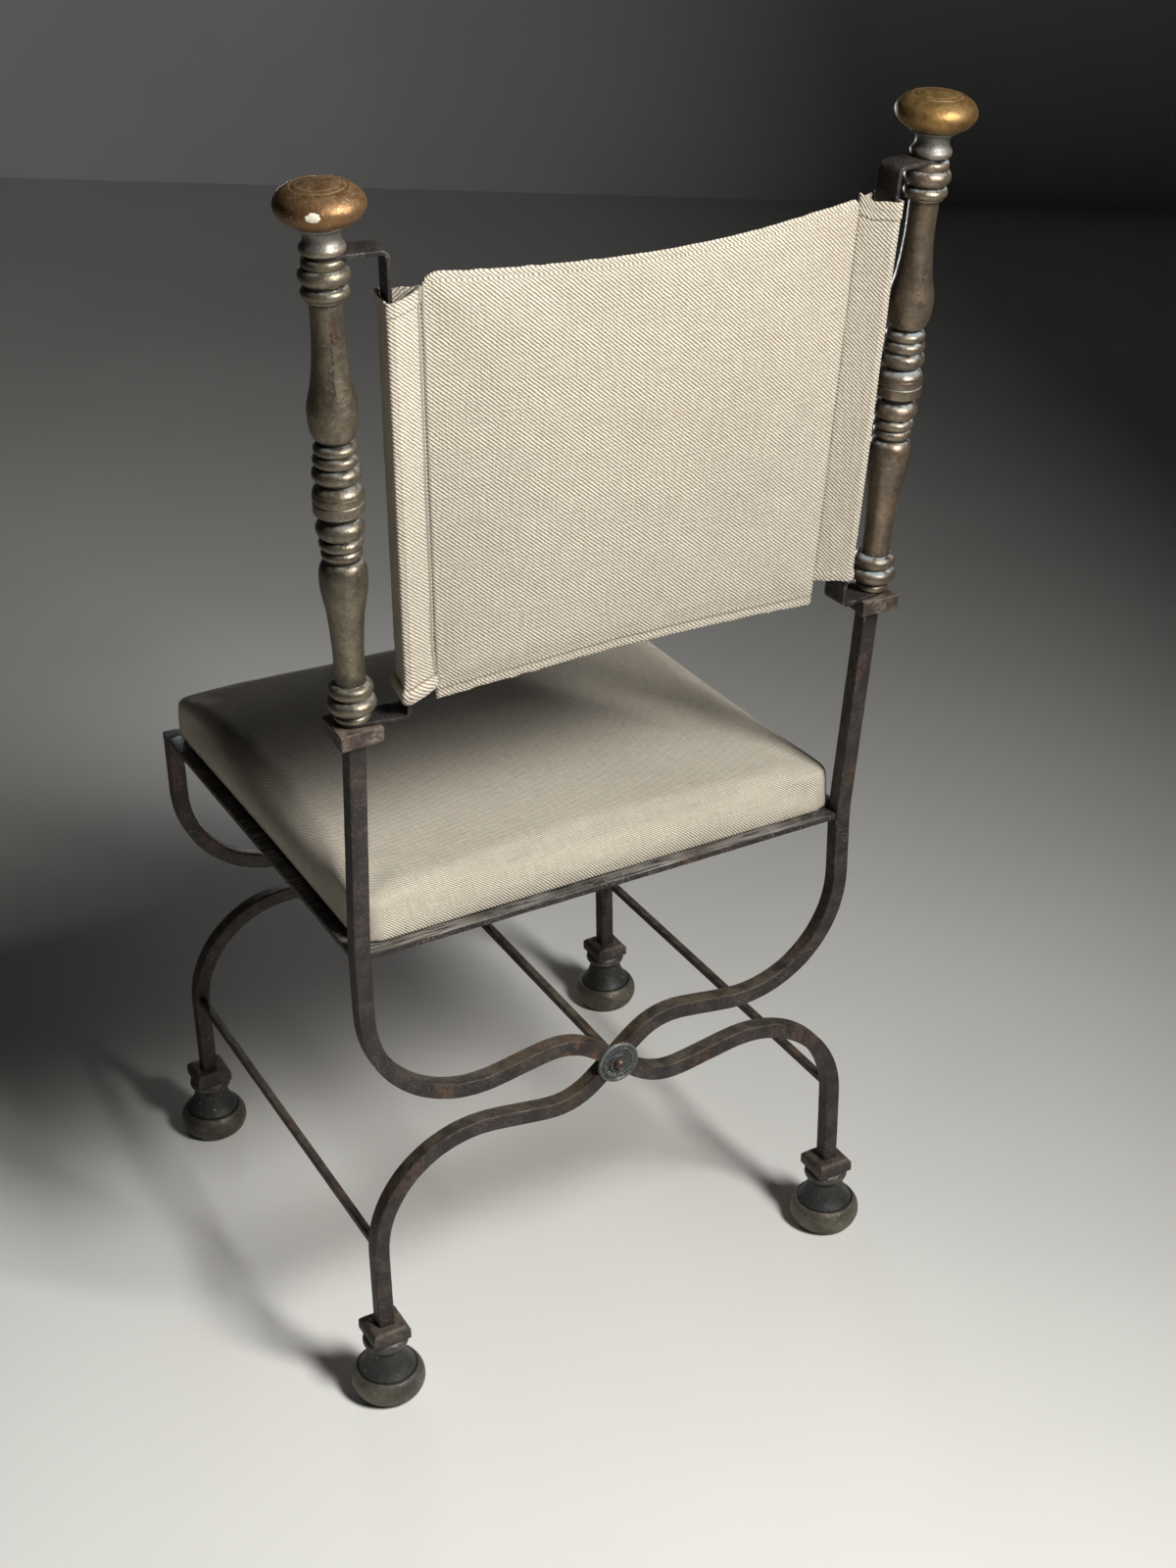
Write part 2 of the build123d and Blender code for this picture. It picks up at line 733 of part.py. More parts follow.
# ---- slip seat --------------------------------------------------------------------------------------
pad_width = 2 * (post_x + half_bar - pad_inset)
pad_depth = 2 * (half_depth + half_bar - pad_inset)
board_width = pad_width - 2 * board_inset
board_depth = pad_depth - 2 * board_inset
board_corner = pad_corner - board_inset
pad_base = Plane((0, seat_middle_y, rail_top + seat_gap))

with BuildPart() as seat_board:
    with BuildSketch(pad_base):
        RectangleRounded(board_width, board_depth, board_corner)
    extrude(amount=board_thickness)
    with BuildSketch(pad_base):
        Rectangle(2 * (rail_inner_x - rebate_clearance), 2 * (rail_inner_y - rebate_clearance))
    extrude(amount=-rebate_height)
save(seat_board, "seat_board")

with BuildPart() as seat_pad:
    with BuildSketch(pad_base):
        RectangleRounded(pad_width, pad_depth, pad_corner)
    extrude(amount=pad_height)
    fillet(seat_pad.faces().sort_by(Axis.Z)[-1].edges(), pad_edge)
    with BuildSketch(pad_base):
        RectangleRounded(board_width, board_depth, board_corner)
    extrude(amount=board_thickness, mode=Mode.SUBTRACT)
save(seat_pad, "seat_pad")

# ---- sling ------------------------------------------------------------------------------------------
strip_in = bracket_reach * cos(radians(bracket_swing))
strip_back = bracket_reach * sin(radians(bracket_swing))
seam_in = strip_in + seam_reach


def sleeve_outline(side):
    """Corners of the folded cloth around the strip, out to the seam, seen along the post."""
    swing = Vector(-side * cos(radians(bracket_swing)), sin(radians(bracket_swing)))
    across = Vector(side * sin(radians(bracket_swing)), cos(radians(bracket_swing)))
    middle = Vector(-side * strip_in, strip_back)
    thick = swing * (bracket_thickness / 2)
    wide = across * (bracket_width / 2)
    return (
        middle - thick - wide,
        middle - thick + wide,
        middle + thick + wide,
        Vector(-side * seam_in, strip_back),
        middle + thick - wide,
    )


def sleeve(name, side):
    """Sleeve sewn along the sling's edge, open at both ends, with the bracket's strip inside."""
    rise = right_sleeve_rise if side < 0 else 0.0
    post = stack_plane(side, sleeve_foot + rise)
    with BuildPart() as cloth:
        with BuildSketch(post):
            with BuildLine():
                Polyline(*sleeve_outline(side), close=True)
            make_face()
            offset(amount=strip_slack + linen)
            with BuildLine():
                Polyline(*sleeve_outline(side), close=True)
            hollow = make_face(mode=Mode.PRIVATE)
            offset(hollow, amount=strip_slack, mode=Mode.SUBTRACT)
        extrude(amount=sleeve_length)
    save(cloth, f"sleeve_{name}")


for side_name, hand_side in sides.items():
    sleeve(side_name, hand_side)

back_axis = Vector(0, tan(radians(stack_rake)), 1).normalized()
back_origin = stack_plane(1).origin
back_plane = Plane(origin=(0, back_origin.Y, back_origin.Z), x_dir=(1, 0, 0), z_dir=back_axis)
facing_plane = Plane(origin=back_plane.origin, x_dir=(1, 0, 0), z_dir=-back_plane.y_dir)
seam_edge = seam_in + strip_slack + linen + panel_gap


def seam_point(height):
    """Point where the panel meets the left sleeve, as (across, up) in the plane of the back."""
    point = stack_plane(1, height).from_local_coords(Vector(-seam_edge, strip_back, 0))
    local = back_plane.to_local_coords(point)
    return Vector(local.X, local.Z)


foot_point = seam_point(panel_corner_foot)
top_point = seam_point(panel_corner_top)
with BuildPart() as back_panel:
    with BuildSketch(back_plane):
        with BuildLine():
            rear_face = ThreePointArc(
                (-top_point.X, strip_back + panel_thickness / 2),
                (0, strip_back + panel_bow + panel_thickness / 2),
                (top_point.X, strip_back + panel_thickness / 2),
            )
            Line(rear_face @ 1, (top_point.X, strip_back - panel_thickness / 2))
            front_face = ThreePointArc(
                (top_point.X, strip_back - panel_thickness / 2),
                (0, strip_back + panel_bow - panel_thickness / 2),
                (-top_point.X, strip_back - panel_thickness / 2),
            )
            Line(front_face @ 1, rear_face @ 0)
        make_face()
    extrude(amount=top_point.Y + panel_corner_radius)
    with BuildSketch(facing_plane):
        with BuildLine():
            foot_edge = ThreePointArc(
                (-foot_point.X, foot_point.Y), (0, foot_point.Y + panel_sag_foot), (foot_point.X, foot_point.Y)
            )
            Line(foot_edge @ 1, (top_point.X, top_point.Y))
            top_edge = ThreePointArc(
                (top_point.X, top_point.Y), (0, top_point.Y - panel_sag_top), (-top_point.X, top_point.Y)
            )
            Line(top_edge @ 1, foot_edge @ 0)
        outline = make_face()
        fillet(outline.vertices().group_by(Axis.Y)[-1], panel_corner_radius)
    extrude(amount=frame_depth, both=True, mode=Mode.INTERSECT)
save(back_panel, "back_panel")
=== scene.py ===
"""Savonarola side chair: forged iron X-frames, turned bronze posts, a linen sling back and a padded slip seat.

Sizes are in millimetres and become metres when a mesh is placed. The sitter faces -Y, the sitter's left is +X.
"""

import logging
import math
from dataclasses import dataclass, field
from enum import Enum
from typing import Any, Callable, Sequence

import bmesh
import bpy
import numpy as np
from mathutils import Matrix, Vector, noise


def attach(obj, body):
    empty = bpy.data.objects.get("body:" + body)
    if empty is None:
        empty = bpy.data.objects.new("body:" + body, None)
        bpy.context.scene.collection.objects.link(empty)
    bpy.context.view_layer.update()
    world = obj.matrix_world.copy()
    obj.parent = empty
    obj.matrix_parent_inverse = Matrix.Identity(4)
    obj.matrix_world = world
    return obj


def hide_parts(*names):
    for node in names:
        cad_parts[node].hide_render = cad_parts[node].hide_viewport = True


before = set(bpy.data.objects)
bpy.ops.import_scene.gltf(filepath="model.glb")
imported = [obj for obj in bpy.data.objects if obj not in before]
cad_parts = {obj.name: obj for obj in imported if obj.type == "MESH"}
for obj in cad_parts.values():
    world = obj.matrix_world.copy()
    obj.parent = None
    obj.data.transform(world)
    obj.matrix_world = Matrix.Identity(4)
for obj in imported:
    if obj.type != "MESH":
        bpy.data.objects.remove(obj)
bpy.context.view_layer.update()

MM = 0.001
REAR_Y = 169.445
FRONT_Y = -225.555
RAIL_TOP = 416.5
CROSSING = 249.5
BAR = 13.0
MIDDLE_Y = (REAR_Y + FRONT_Y) / 2
LEG_X = 210.5
STRIP_REACH = 37.0
STRIP_SWING = 10.0
STRIP_WIDTH = 20.0
STRIP_THICKNESS = 3.0
NOISE_SEED = 1
Colour = tuple[float, float, float, float]
Point = tuple[float, float]
Triple = tuple[float, float, float]
Node, Socket, Tree = bpy.types.Node, bpy.types.NodeSocket, bpy.types.NodeTree
Material, Object = bpy.types.Material, bpy.types.Object
log = logging.getLogger("chair")


class Body(Enum):
    """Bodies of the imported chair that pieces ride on."""

    FRAME = "frame"
    SEAT = "seat"
    FINIAL_LEFT = "finial_left"
    FINIAL_RIGHT = "finial_right"


class Side(Enum):
    """Sides of the chair as the sitter has them."""

    LEFT = 1
    RIGHT = -1

    @property
    def word(self) -> str:
        """Lower-case name used in node names."""
        return self.name.lower()


def colour(red: int, green: int, blue: int) -> Colour:
    """Linear colour from display values.

    Args:
        red, green, blue: display values from 0 to 255.

    Returns:
        The colour as four linear numbers.
    """
    parts = [((c / 255 + 0.055) / 1.055) ** 2.4 if c > 10 else c / 255 / 12.92 for c in (red, green, blue)]
    return (parts[0], parts[1], parts[2], 1.0)


# ---- node trees ----
class Graph:
    """Adds nodes to a tree and joins them."""

    def __init__(self, tree: Tree) -> None:
        """Keeps the tree that the nodes go into."""
        self.tree = tree

    def feed(self, socket: Socket, value: Any) -> None:
        """Fills an input socket.

        Args:
            socket: the input socket.
            value: its value, or the socket or node that feeds it.
        """
        if isinstance(value, Node):
            value = value.outputs[0]
        if isinstance(value, Socket):
            self.tree.links.new(value, socket)
        else:
            socket.default_value = value

    def add(self, kind: str, inputs: dict[Any, Any] | None = None, **settings: Any) -> Node:
        """Adds one node.

        Args:
            kind: the node's type name.
            inputs: socket name or number to a value, or to the socket or node that feeds it.
            settings: properties of the node.

        Returns:
            The new node.
        """
        node = self.tree.nodes.new(kind)
        for key, value in settings.items():
            setattr(node, key, value)
        for key, value in (inputs or {}).items():
            self.feed(node.inputs[key], value)
        return node

    def math(self, operation: str, a: Any, b: Any = 0.0) -> Socket:
        """Result of a Math node on two values or sockets."""
        return self.add("ShaderNodeMath", {0: a, 1: b}, operation=operation).outputs[0]

    def times(self, a: Any, b: Any) -> Socket:
        """Product of two values or sockets."""
        return self.math("MULTIPLY", a, b)

    def plus(self, a: Any, b: Any) -> Socket:
        """Sum of two values or sockets."""
        return self.math("ADD", a, b)

    def minus(self, a: Any, b: Any) -> Socket:
        """First value or socket less the second."""
        return self.math("SUBTRACT", a, b)

    def stretch(self, vector: Any, factors: Sequence[float]) -> Socket:
        """Coordinates times a factor along each axis."""
        return self.add("ShaderNodeVectorMath", {0: vector, 1: factors}, operation="MULTIPLY").outputs[0]

    def cloud(self, vector: Any, scale: Any, detail: Any) -> Socket:
        """Smooth noise from about 0 to 1 on the coordinates."""
        return self.add("ShaderNodeTexNoise", {"Vector": vector, "Scale": scale, "Detail": detail}).outputs["Fac"]

    def mix(self, share: Any, a: Any, b: Any) -> Socket:
        """Colour that goes from a to b as the share goes from 0 to 1."""
        return self.add("ShaderNodeMix", {0: share, 6: a, 7: b}, data_type="RGBA").outputs[2]

    def ramp(self, value: Any, low: Any, high: Any, start: Any = 0.0, end: Any = 1.0) -> Socket:
        """Eases one range of values into another.

        Args:
            value: value or socket that is read.
            low, high: its range.
            start, end: results at low and at high.

        Returns:
            The eased value.
        """
        return self.add(
            "ShaderNodeMapRange",
            {"Value": value, "From Min": low, "From Max": high, "To Min": start, "To Max": end},
            interpolation_type="SMOOTHSTEP",
        ).outputs[0]

    def lay(self, base: Any, mask: Any, share: Any, tint: Any) -> Socket:
        """Lays a colour over a base.

        Args:
            base: colour or socket below.
            mask: where the colour lies.
            share: how much of it shows where the mask is full.
            tint: the colour.

        Returns:
            The mixed colour.
        """
        return self.mix(self.times(mask, share), base, tint)

    def use(self, group: Tree, inputs: dict[str, Any]) -> Node:
        """Places a shader group with its own values."""
        return self.add("ShaderNodeGroup", inputs, node_tree=group)


FLOAT, VECTOR, GEOMETRY, FINISH = (f"NodeSocket{kind}" for kind in ("Float", "Vector", "Geometry", "Material"))
SOCKETS = {float: FLOAT, int: "NodeSocketInt", bool: "NodeSocketBool"}


def new_tree(name: str, kind: str, inputs: dict[str, Any], outputs: dict[str, str]) -> tuple[Graph, Node, Node]:
    """Starts a node group with named sockets.

    Args:
        name: name of the group.
        kind: ShaderNodeTree or GeometryNodeTree.
        inputs: name to default value, or to socket type where there is no default.
        outputs: name to socket type.

    Returns:
        The graph, its input node and its output node.
    """
    tree = bpy.data.node_groups.new(name, kind)
    for label, value in inputs.items():
        bare = isinstance(value, str)
        made = tree.interface.new_socket(label, in_out="INPUT", socket_type=value if bare else SOCKETS[type(value)])
        if not bare:
            made.default_value = value
    for label, socket in outputs.items():
        tree.interface.new_socket(label, in_out="OUTPUT", socket_type=socket)
    graph = Graph(tree)
    return graph, graph.add("NodeGroupInput"), graph.add("NodeGroupOutput")


def mottling_group() -> Tree:
    """Shader group for uneven patches: a mask from noise between two thresholds."""
    values = {"Vector": VECTOR, "Scale": 30.0, "Detail": 4.0, "Low": 0.4, "High": 0.6}
    graph, given, result = new_tree("mottling", "ShaderNodeTree", values, {"Mask": FLOAT})
    cloud = graph.cloud(given.outputs["Vector"], given.outputs["Scale"], given.outputs["Detail"])
    mask = graph.ramp(cloud, given.outputs["Low"], given.outputs["High"])
    graph.feed(result.inputs["Mask"], mask)
    return graph.tree


def edge_wear_group() -> Tree:
    """Shader group for rubbed edges: the stored edge value, broken up by noise."""
    values = {"Vector": VECTOR, "Edge": 0.0, "Scale": 120.0, "Reach": 0.6}
    graph, given, result = new_tree("edge_wear", "ShaderNodeTree", values, {"Mask": FLOAT})
    cloud = graph.cloud(given.outputs["Vector"], given.outputs["Scale"], 5.0)
    uneven = graph.times(graph.minus(cloud, 0.5), 2.4)
    broken = graph.plus(given.outputs["Edge"], uneven)
    start = graph.minus(1.3, given.outputs["Reach"])
    mask = graph.ramp(broken, start, graph.plus(start, 0.3))
    graph.feed(result.inputs["Mask"], mask)
    return graph.tree


def settled_dust_group() -> Tree:
    """Shader group for dusting and painted top light: a mask on faces that look up, broken up by noise."""
    values = {"Vector": VECTOR, "Scale": 60.0}
    graph, given, result = new_tree("settled_dust", "ShaderNodeTree", values, {"Mask": FLOAT})
    surface = graph.add("ShaderNodeNewGeometry")
    up = graph.add("ShaderNodeSeparateXYZ", {0: surface.outputs["Normal"]}).outputs[2]
    cloud = graph.cloud(given.outputs["Vector"], given.outputs["Scale"], 6.0)
    mask = graph.times(graph.ramp(up, 0.35, 0.9), graph.ramp(cloud, 0.35, 0.62))
    graph.feed(result.inputs["Mask"], mask)
    return graph.tree


def twill_group() -> Tree:
    """Shader group for twill linen: slanting ribs cut into floats, with thicker and thinner yarns."""
    values = {"Cloth": VECTOR, "Pitch": 0.0021, "Slant": 0.9, "Slub": 0.4}
    masks = {"Height": FLOAT, "Gap": FLOAT, "Yarn": FLOAT, "Fleck": FLOAT}
    graph, given, result = new_tree("twill_weave", "ShaderNodeTree", values, masks)
    cloth, pitch, slant = (given.outputs[label] for label in ("Cloth", "Pitch", "Slant"))
    parts = graph.add("ShaderNodeSeparateXYZ", {0: cloth})
    across, along = parts.outputs[0], parts.outputs[1]
    shift = graph.times(graph.minus(graph.cloud(cloth, 160.0, 2.0), 0.5), 0.0016)
    slanted = graph.plus(graph.times(across, slant), graph.plus(along, shift))
    steep = graph.math("SQRT", graph.plus(graph.math("POWER", slant, 2.0), 1.0))
    turns = graph.math("DIVIDE", slanted, graph.times(pitch, steep))
    step = graph.math("DIVIDE", along, graph.times(pitch, 0.55))
    floats = graph.plus(step, graph.times(graph.math("FLOOR", turns), 0.37))
    waves = (graph.math("SINE", graph.times(value, 2 * math.pi)) for value in (turns, floats))
    rib, beat = (graph.plus(graph.times(wave, 0.5), 0.5) for wave in waves)
    yarns = [
        graph.cloud(graph.stretch(cloth, factors), 1.0, 2.0) for factors in ((750.0, 45.0, 1.0), (45.0, 750.0, 1.0))
    ]
    slub = graph.ramp(graph.times(graph.plus(*yarns), 0.5), 0.38, 0.62)
    speckle = graph.cloud(cloth, 430.0, 1.0)
    fleck = graph.ramp(speckle, 0.6, 0.72)
    uneven = graph.times(graph.minus(speckle, 0.5), 0.7)
    gap = graph.ramp(graph.plus(rib, uneven), 0.12, 0.58, 1.0, 0.0)
    body = graph.times(rib, graph.plus(0.72, graph.times(beat, 0.28)))
    height = graph.plus(body, graph.times(slub, given.outputs["Slub"]))
    for label, socket in (("Height", height), ("Gap", gap), ("Yarn", slub), ("Fleck", fleck)):
        graph.feed(result.inputs[label], socket)
    return graph.tree


MOTTLING = mottling_group()
EDGE_WEAR = edge_wear_group()
DUST_AND_TOP_LIGHT = settled_dust_group()
TWILL = twill_group()


# ---- finishes ----
class Surface(Graph):
    """Graph of a material under way, with its shader and the coordinates that patterns read."""

    def __init__(self, name: str) -> None:
        """Starts an empty material with one shader."""
        self.material = bpy.data.materials.new(name)
        self.material.use_nodes = True
        self.material.node_tree.nodes.clear()
        super().__init__(self.material.node_tree)
        self.shader = self.add("ShaderNodeBsdfPrincipled")
        self.add("ShaderNodeOutputMaterial", {"Surface": self.shader})
        self.place = self.add("ShaderNodeTexCoord").outputs["Object"]

    def patches(self, scale: float, low: float, high: float, detail: float = 4.0) -> Socket:
        """Mask of uneven patches of that scale."""
        return self.long_patches(None, scale, low, high, detail)

    def long_patches(
        self, factors: Triple | None, scale: float, low: float, high: float, detail: float = 4.0
    ) -> Socket:
        """Mask of patches drawn out along an axis.

        Args:
            factors: factor on the coordinates along each axis, or None for round patches.
            scale: how many patches to a metre, about.
            low, high: noise at which the mask starts and is full.
            detail: fineness of their outline.

        Returns:
            The mask.
        """
        vector = self.stretch(self.place, factors) if factors else self.place
        values = {"Vector": vector, "Scale": scale, "Detail": detail, "Low": low, "High": high}
        return self.use(MOTTLING, values).outputs["Mask"]

    def dust(self, scale: float) -> Socket:
        """Mask on faces that look up, in patches of that scale; it places dusting with painted top light, bloom with
        painted sheen and scratches.
        """
        return self.use(DUST_AND_TOP_LIGHT, {"Vector": self.place, "Scale": scale}).outputs["Mask"]

    def stored(self, name: str, output: str = "Fac") -> Socket:
        """Value that the mesh keeps at its points."""
        return self.add("ShaderNodeAttribute", attribute_name=name).outputs[output]

    def near(self, centre: Vector, reach: Triple) -> Socket:
        """Mask round one place.

        Args:
            centre: the place in metres, where the mask is 1.
            reach: distance along each axis at which it has faded to 0.

        Returns:
            The mask.
        """
        away = self.add("ShaderNodeVectorMath", {0: self.place, 1: tuple(centre)}, operation="SUBTRACT")
        share = self.add("ShaderNodeVectorMath", {0: away, 1: reach}, operation="DIVIDE")
        length = self.add("ShaderNodeVectorMath", {0: share}, operation="LENGTH")
        return self.ramp(length.outputs["Value"], 0.0, 1.0, 1.0, 0.0)

    def finish(
        self, base: Any, roughness: Any, metallic: Any, relief: Any, depth: float, strength: float = 1.0
    ) -> Material:
        """Joins the parts to the shader.

        Args:
            base, roughness, metallic: colour and values or the sockets that give them.
            relief: socket with the height of the fine relief.
            depth: height of the relief in metres.
            strength: how strongly it bends the light.

        Returns:
            The finished material.
        """
        bump = self.add("ShaderNodeBump", {"Height": relief, "Distance": depth, "Strength": strength})
        joined = {"Normal": bump, "Base Color": base, "Roughness": roughness, "Metallic": metallic}
        for key, value in joined.items():
            self.feed(self.shader.inputs[key], value)
        return self.material


@dataclass(frozen=True)
class OldIron:
    """Old forged iron: a pitted dark skin, olive dusting on up-facing faces that also paints top light, broken rubbed
    edges, pale specks and a little rust.
    """

    name: str
    skin: Colour = colour(40, 34, 32)
    bloom: Colour = colour(66, 57, 54)
    rubbed: Colour = colour(124, 116, 108)
    rust: Colour = colour(104, 72, 50)
    # Olive dusting on up-facing faces, which also paints top light: tops lighter than the sides.
    dust: Colour = colour(94, 87, 70)
    dusty: float = 0.65
    wear: float = 0.3
    specks: float = 0.5
    scratches: float = 0.0
    rust_place: Vector | None = None
    rust_reach: Triple = (0.075, 0.03, 0.03)
    roughness: float = 0.6
    metallic: float = 0.25
    relief_depth: float = 0.0005

    def material(self) -> Material:
        """Builds the material."""
        look = Surface(self.name)
        base = look.mix(look.patches(58.0, 0.38, 0.66, 7.0), self.skin, self.bloom)
        base = look.lay(base, look.patches(300.0, 0.42, 0.6, 5.0), 0.75, self.skin)
        # Dusting with painted top light: faces that look up are laid lighter olive than the sides.
        base = look.lay(base, look.dust(90.0), self.dusty, self.dust)
        warm = look.times(look.patches(26.0, 0.56, 0.68, 6.0), look.patches(210.0, 0.4, 0.6, 4.0))
        base = look.lay(base, warm, 0.5, self.rust)
        if self.rust_place is not None:
            near = look.near(self.rust_place, self.rust_reach)
            near = look.times(near, look.patches(120.0, 0.5, 0.6, 6.0))
            base = look.lay(base, near, 0.75, self.rust)
        edge = look.stored("edge")
        worn = look.use(EDGE_WEAR, {"Vector": look.place, "Edge": edge, "Scale": 170.0, "Reach": self.wear})
        broken = look.times(worn, look.patches(95.0, 0.36, 0.6, 4.0))
        rubbed = look.times(broken, 0.6)
        rough = look.minus(self.roughness, look.times(rubbed, 0.3))
        if self.scratches > 0:
            lines = look.long_patches((30.0, 420.0, 420.0), 1.0, 0.36, 0.6, 6.0)
            band = look.times(look.times(lines, look.dust(12.0)), self.scratches)
            base = look.mix(band, base, self.rubbed)
            rough = look.minus(rough, look.times(band, 0.25))
        base = look.mix(rubbed, base, self.rubbed)
        specks = look.times(look.patches(760.0, 0.58, 0.66, 3.0), look.patches(60.0, 0.42, 0.6, 5.0))
        base = look.lay(base, specks, self.specks, self.rubbed)
        pits = look.patches(480.0, 0.36, 0.62, 4.0)
        hammer = look.patches(75.0, 0.2, 0.8, 2.0)
        relief = look.plus(look.times(pits, 0.4), hammer)
        return look.finish(base, rough, self.metallic, relief, self.relief_depth, 0.8)


@dataclass(frozen=True)
class Stain:
    """A mark at one place on a piece."""

    place: Vector
    reach: Triple
    tint: Colour
    share: float


@dataclass(frozen=True)
class AgedBronze:
    """Cast bronze: satin body, near-black hollows, grey-blue bloom with painted sheen on faces that look up, crests
    rubbed bright and pale specks.
    """

    name: str
    body: Colour = colour(116, 106, 90)
    dark: Colour = colour(64, 57, 49)
    lower: Colour | None = None
    hollow: Colour = colour(38, 36, 34)
    # Grey-blue bloom with painted sheen: a pale colour laid on faces that look up.
    bloom: Colour = colour(132, 138, 138)
    rubbed: Colour = colour(150, 139, 122)
    hollow_share: float = 0.85
    bloom_share: float = 0.45
    rubbed_share: float = 0.4
    roughness: float = 0.33
    metallic: float = 0.75
    mottle: float = 0.4
    grain: float = 0.3
    streaks: float = 0.25
    scuffs: float = 0.32
    stains: tuple[Stain, ...] = ()
    speck: Colour = colour(186, 184, 174)
    groove: Colour = colour(22, 21, 20)
    fleck: Vector | None = None
    fleck_paint: Colour = colour(214, 209, 190)
    fleck_reach: Triple = (0.0082, 0.0082, 0.0054)
    relief_depth: float = 0.0002

    def material(self) -> Material:
        """Builds the material."""
        look = Surface(self.name)
        relief = look.stored("relief")
        base = self.body if self.lower is None else look.mix(look.stored("tone"), self.lower, self.body)
        base = look.lay(base, look.patches(34.0, 0.36, 0.68, 5.0), self.mottle, self.dark)
        base = look.lay(base, look.patches(260.0, 0.42, 0.64, 6.0), self.grain, self.dark)
        runs = look.long_patches((1.0, 1.0, 0.12), 190.0, 0.5, 0.66)
        base = look.lay(base, runs, self.streaks, self.dark)
        uneven = look.times(look.patches(110.0, 0.3, 0.7), 0.3)
        hollow = look.ramp(look.plus(relief, uneven), -0.75, 0.0, 1.0, 0.0)
        base = look.lay(base, hollow, self.hollow_share, self.hollow)
        crest = look.minus(relief, look.times(look.patches(150.0, 0.35, 0.7), 0.35))
        base = look.lay(base, look.ramp(crest, 0.05, 0.8), self.rubbed_share, self.rubbed)
        # Bloom with painted sheen: faces that look up get a pale grey-blue colour, more roughness and less metal.
        bloom = look.times(look.dust(150.0), self.bloom_share)
        base = look.mix(bloom, base, self.bloom)
        for stain in self.stains:
            ragged = look.plus(look.near(stain.place, stain.reach), look.times(uneven, 1.4))
            broken = look.times(look.patches(420.0, 0.34, 0.56, 4.0), stain.share)
            base = look.lay(base, look.ramp(ragged, 0.45, 0.7), broken, stain.tint)
        fine = look.times(look.patches(820.0, 0.6, 0.68, 2.0), look.patches(28.0, 0.42, 0.66, 3.0))
        specks = look.math("MAXIMUM", look.patches(330.0, 0.67, 0.72, 3.0), fine)
        base = look.lay(base, specks, self.scuffs, self.speck)
        base = look.lay(base, look.stored("line"), 0.8, self.rubbed)
        base = look.mix(look.stored("groove"), base, self.groove)
        rough = look.plus(self.roughness, look.times(look.patches(140.0, 0.3, 0.7), 0.14))
        rough = look.plus(rough, look.times(look.plus(hollow, bloom), 0.2))
        metal = look.times(look.minus(1.0, bloom), self.metallic)
        if self.fleck is not None:
            blot = look.times(look.patches(420.0, 0.3, 0.7, 2.0), 0.3)
            mark = look.ramp(look.plus(look.near(self.fleck, self.fleck_reach), blot), 0.58, 0.64)
            base = look.mix(mark, base, self.fleck_paint)
            metal = look.times(look.minus(1.0, mark), metal)
            rough = look.plus(rough, look.times(mark, 0.35))
        pits = look.patches(520.0, 0.3, 0.72, 4.0)
        bumps = look.plus(look.times(pits, 0.4), look.patches(130.0, 0.2, 0.8, 2.0))
        return look.finish(base, rough, metal, bumps, self.relief_depth, 0.7)


@dataclass(frozen=True)
class TwillLinen:
    """Oatmeal linen twill with brown yarns between paler ribs, and painted shade in its folds, hem rows and seams."""

    name: str
    pale: Colour = colour(204, 196, 181)
    tan: Colour = colour(104, 93, 77)
    pitch: float = 0.0021
    contrast: float = 0.85
    depth: float = 0.0004
    # Colour of the painted shade in folds, hem rows and seams.
    fold: Colour = colour(84, 72, 60)
    shader_values: tuple[tuple[str, float], ...] = (
        ("Sheen Weight", 0.08), ("Sheen Roughness", 0.5), ("Specular IOR Level", 0.15),
    )

    def material(self) -> Material:
        """Builds the material."""
        look = Surface(self.name)
        cloth = look.stored("cloth", "Vector")
        weave = look.use(TWILL, {"Cloth": cloth, "Pitch": self.pitch})
        base = look.lay(self.pale, weave.outputs["Gap"], self.contrast, self.tan)
        base = look.lay(base, look.minus(1.0, weave.outputs["Yarn"]), 0.22, self.tan)
        base = look.lay(base, weave.outputs["Fleck"], 0.3, self.tan)
        base = look.lay(base, look.patches(9.0, 0.4, 0.75, 3.0), 0.1, self.tan)
        # Painted shade: the stored share of fold and seam shade lays the fold colour.
        base = look.lay(base, look.stored("crease"), 0.75, self.fold)
        for label, value in self.shader_values:
            look.shader.inputs[label].default_value = value
        return look.finish(base, 0.9, 0.0, weave.outputs["Height"], self.depth, 0.9)


@dataclass(frozen=True)
class Plywood:
    """Birch ply of the slip seat's board, with faint grain."""

    name: str = "birch_ply"
    pale: Colour = colour(196, 164, 122)
    dark: Colour = colour(150, 114, 76)

    def material(self) -> Material:
        """Builds the material."""
        look = Surface(self.name)
        grain = look.long_patches((4.0, 90.0, 700.0), 1.0, 0.35, 0.65)
        base = look.mix(grain, self.pale, self.dark)
        return look.finish(base, 0.7, 0.0, grain, 0.0002)


# ---- meshes ----
MILLIMETRES = Matrix.Scale(MM, 4)


def placed(name: str, data: bpy.types.ID) -> Object:
    """Puts a mesh, lamp or camera in the scene as a new object."""
    made = bpy.data.objects.new(name, data)
    bpy.context.scene.collection.objects.link(made)
    return made


def mesh_object(name: str, points: Sequence[Any], faces: Sequence[Any], place: Matrix) -> Object:
    """Object with its place in its mesh.

    Args:
        name: name of the piece.
        points: corners in millimetres.
        faces: corner numbers of each face.
        place: matrix that takes millimetres to the chair in metres.

    Returns:
        The new object, linked to the scene.
    """
    mesh = bpy.data.meshes.new(name)
    mesh.from_pydata([tuple(p) for p in points], [], faces)
    mesh.transform(place)
    return placed(name, mesh)


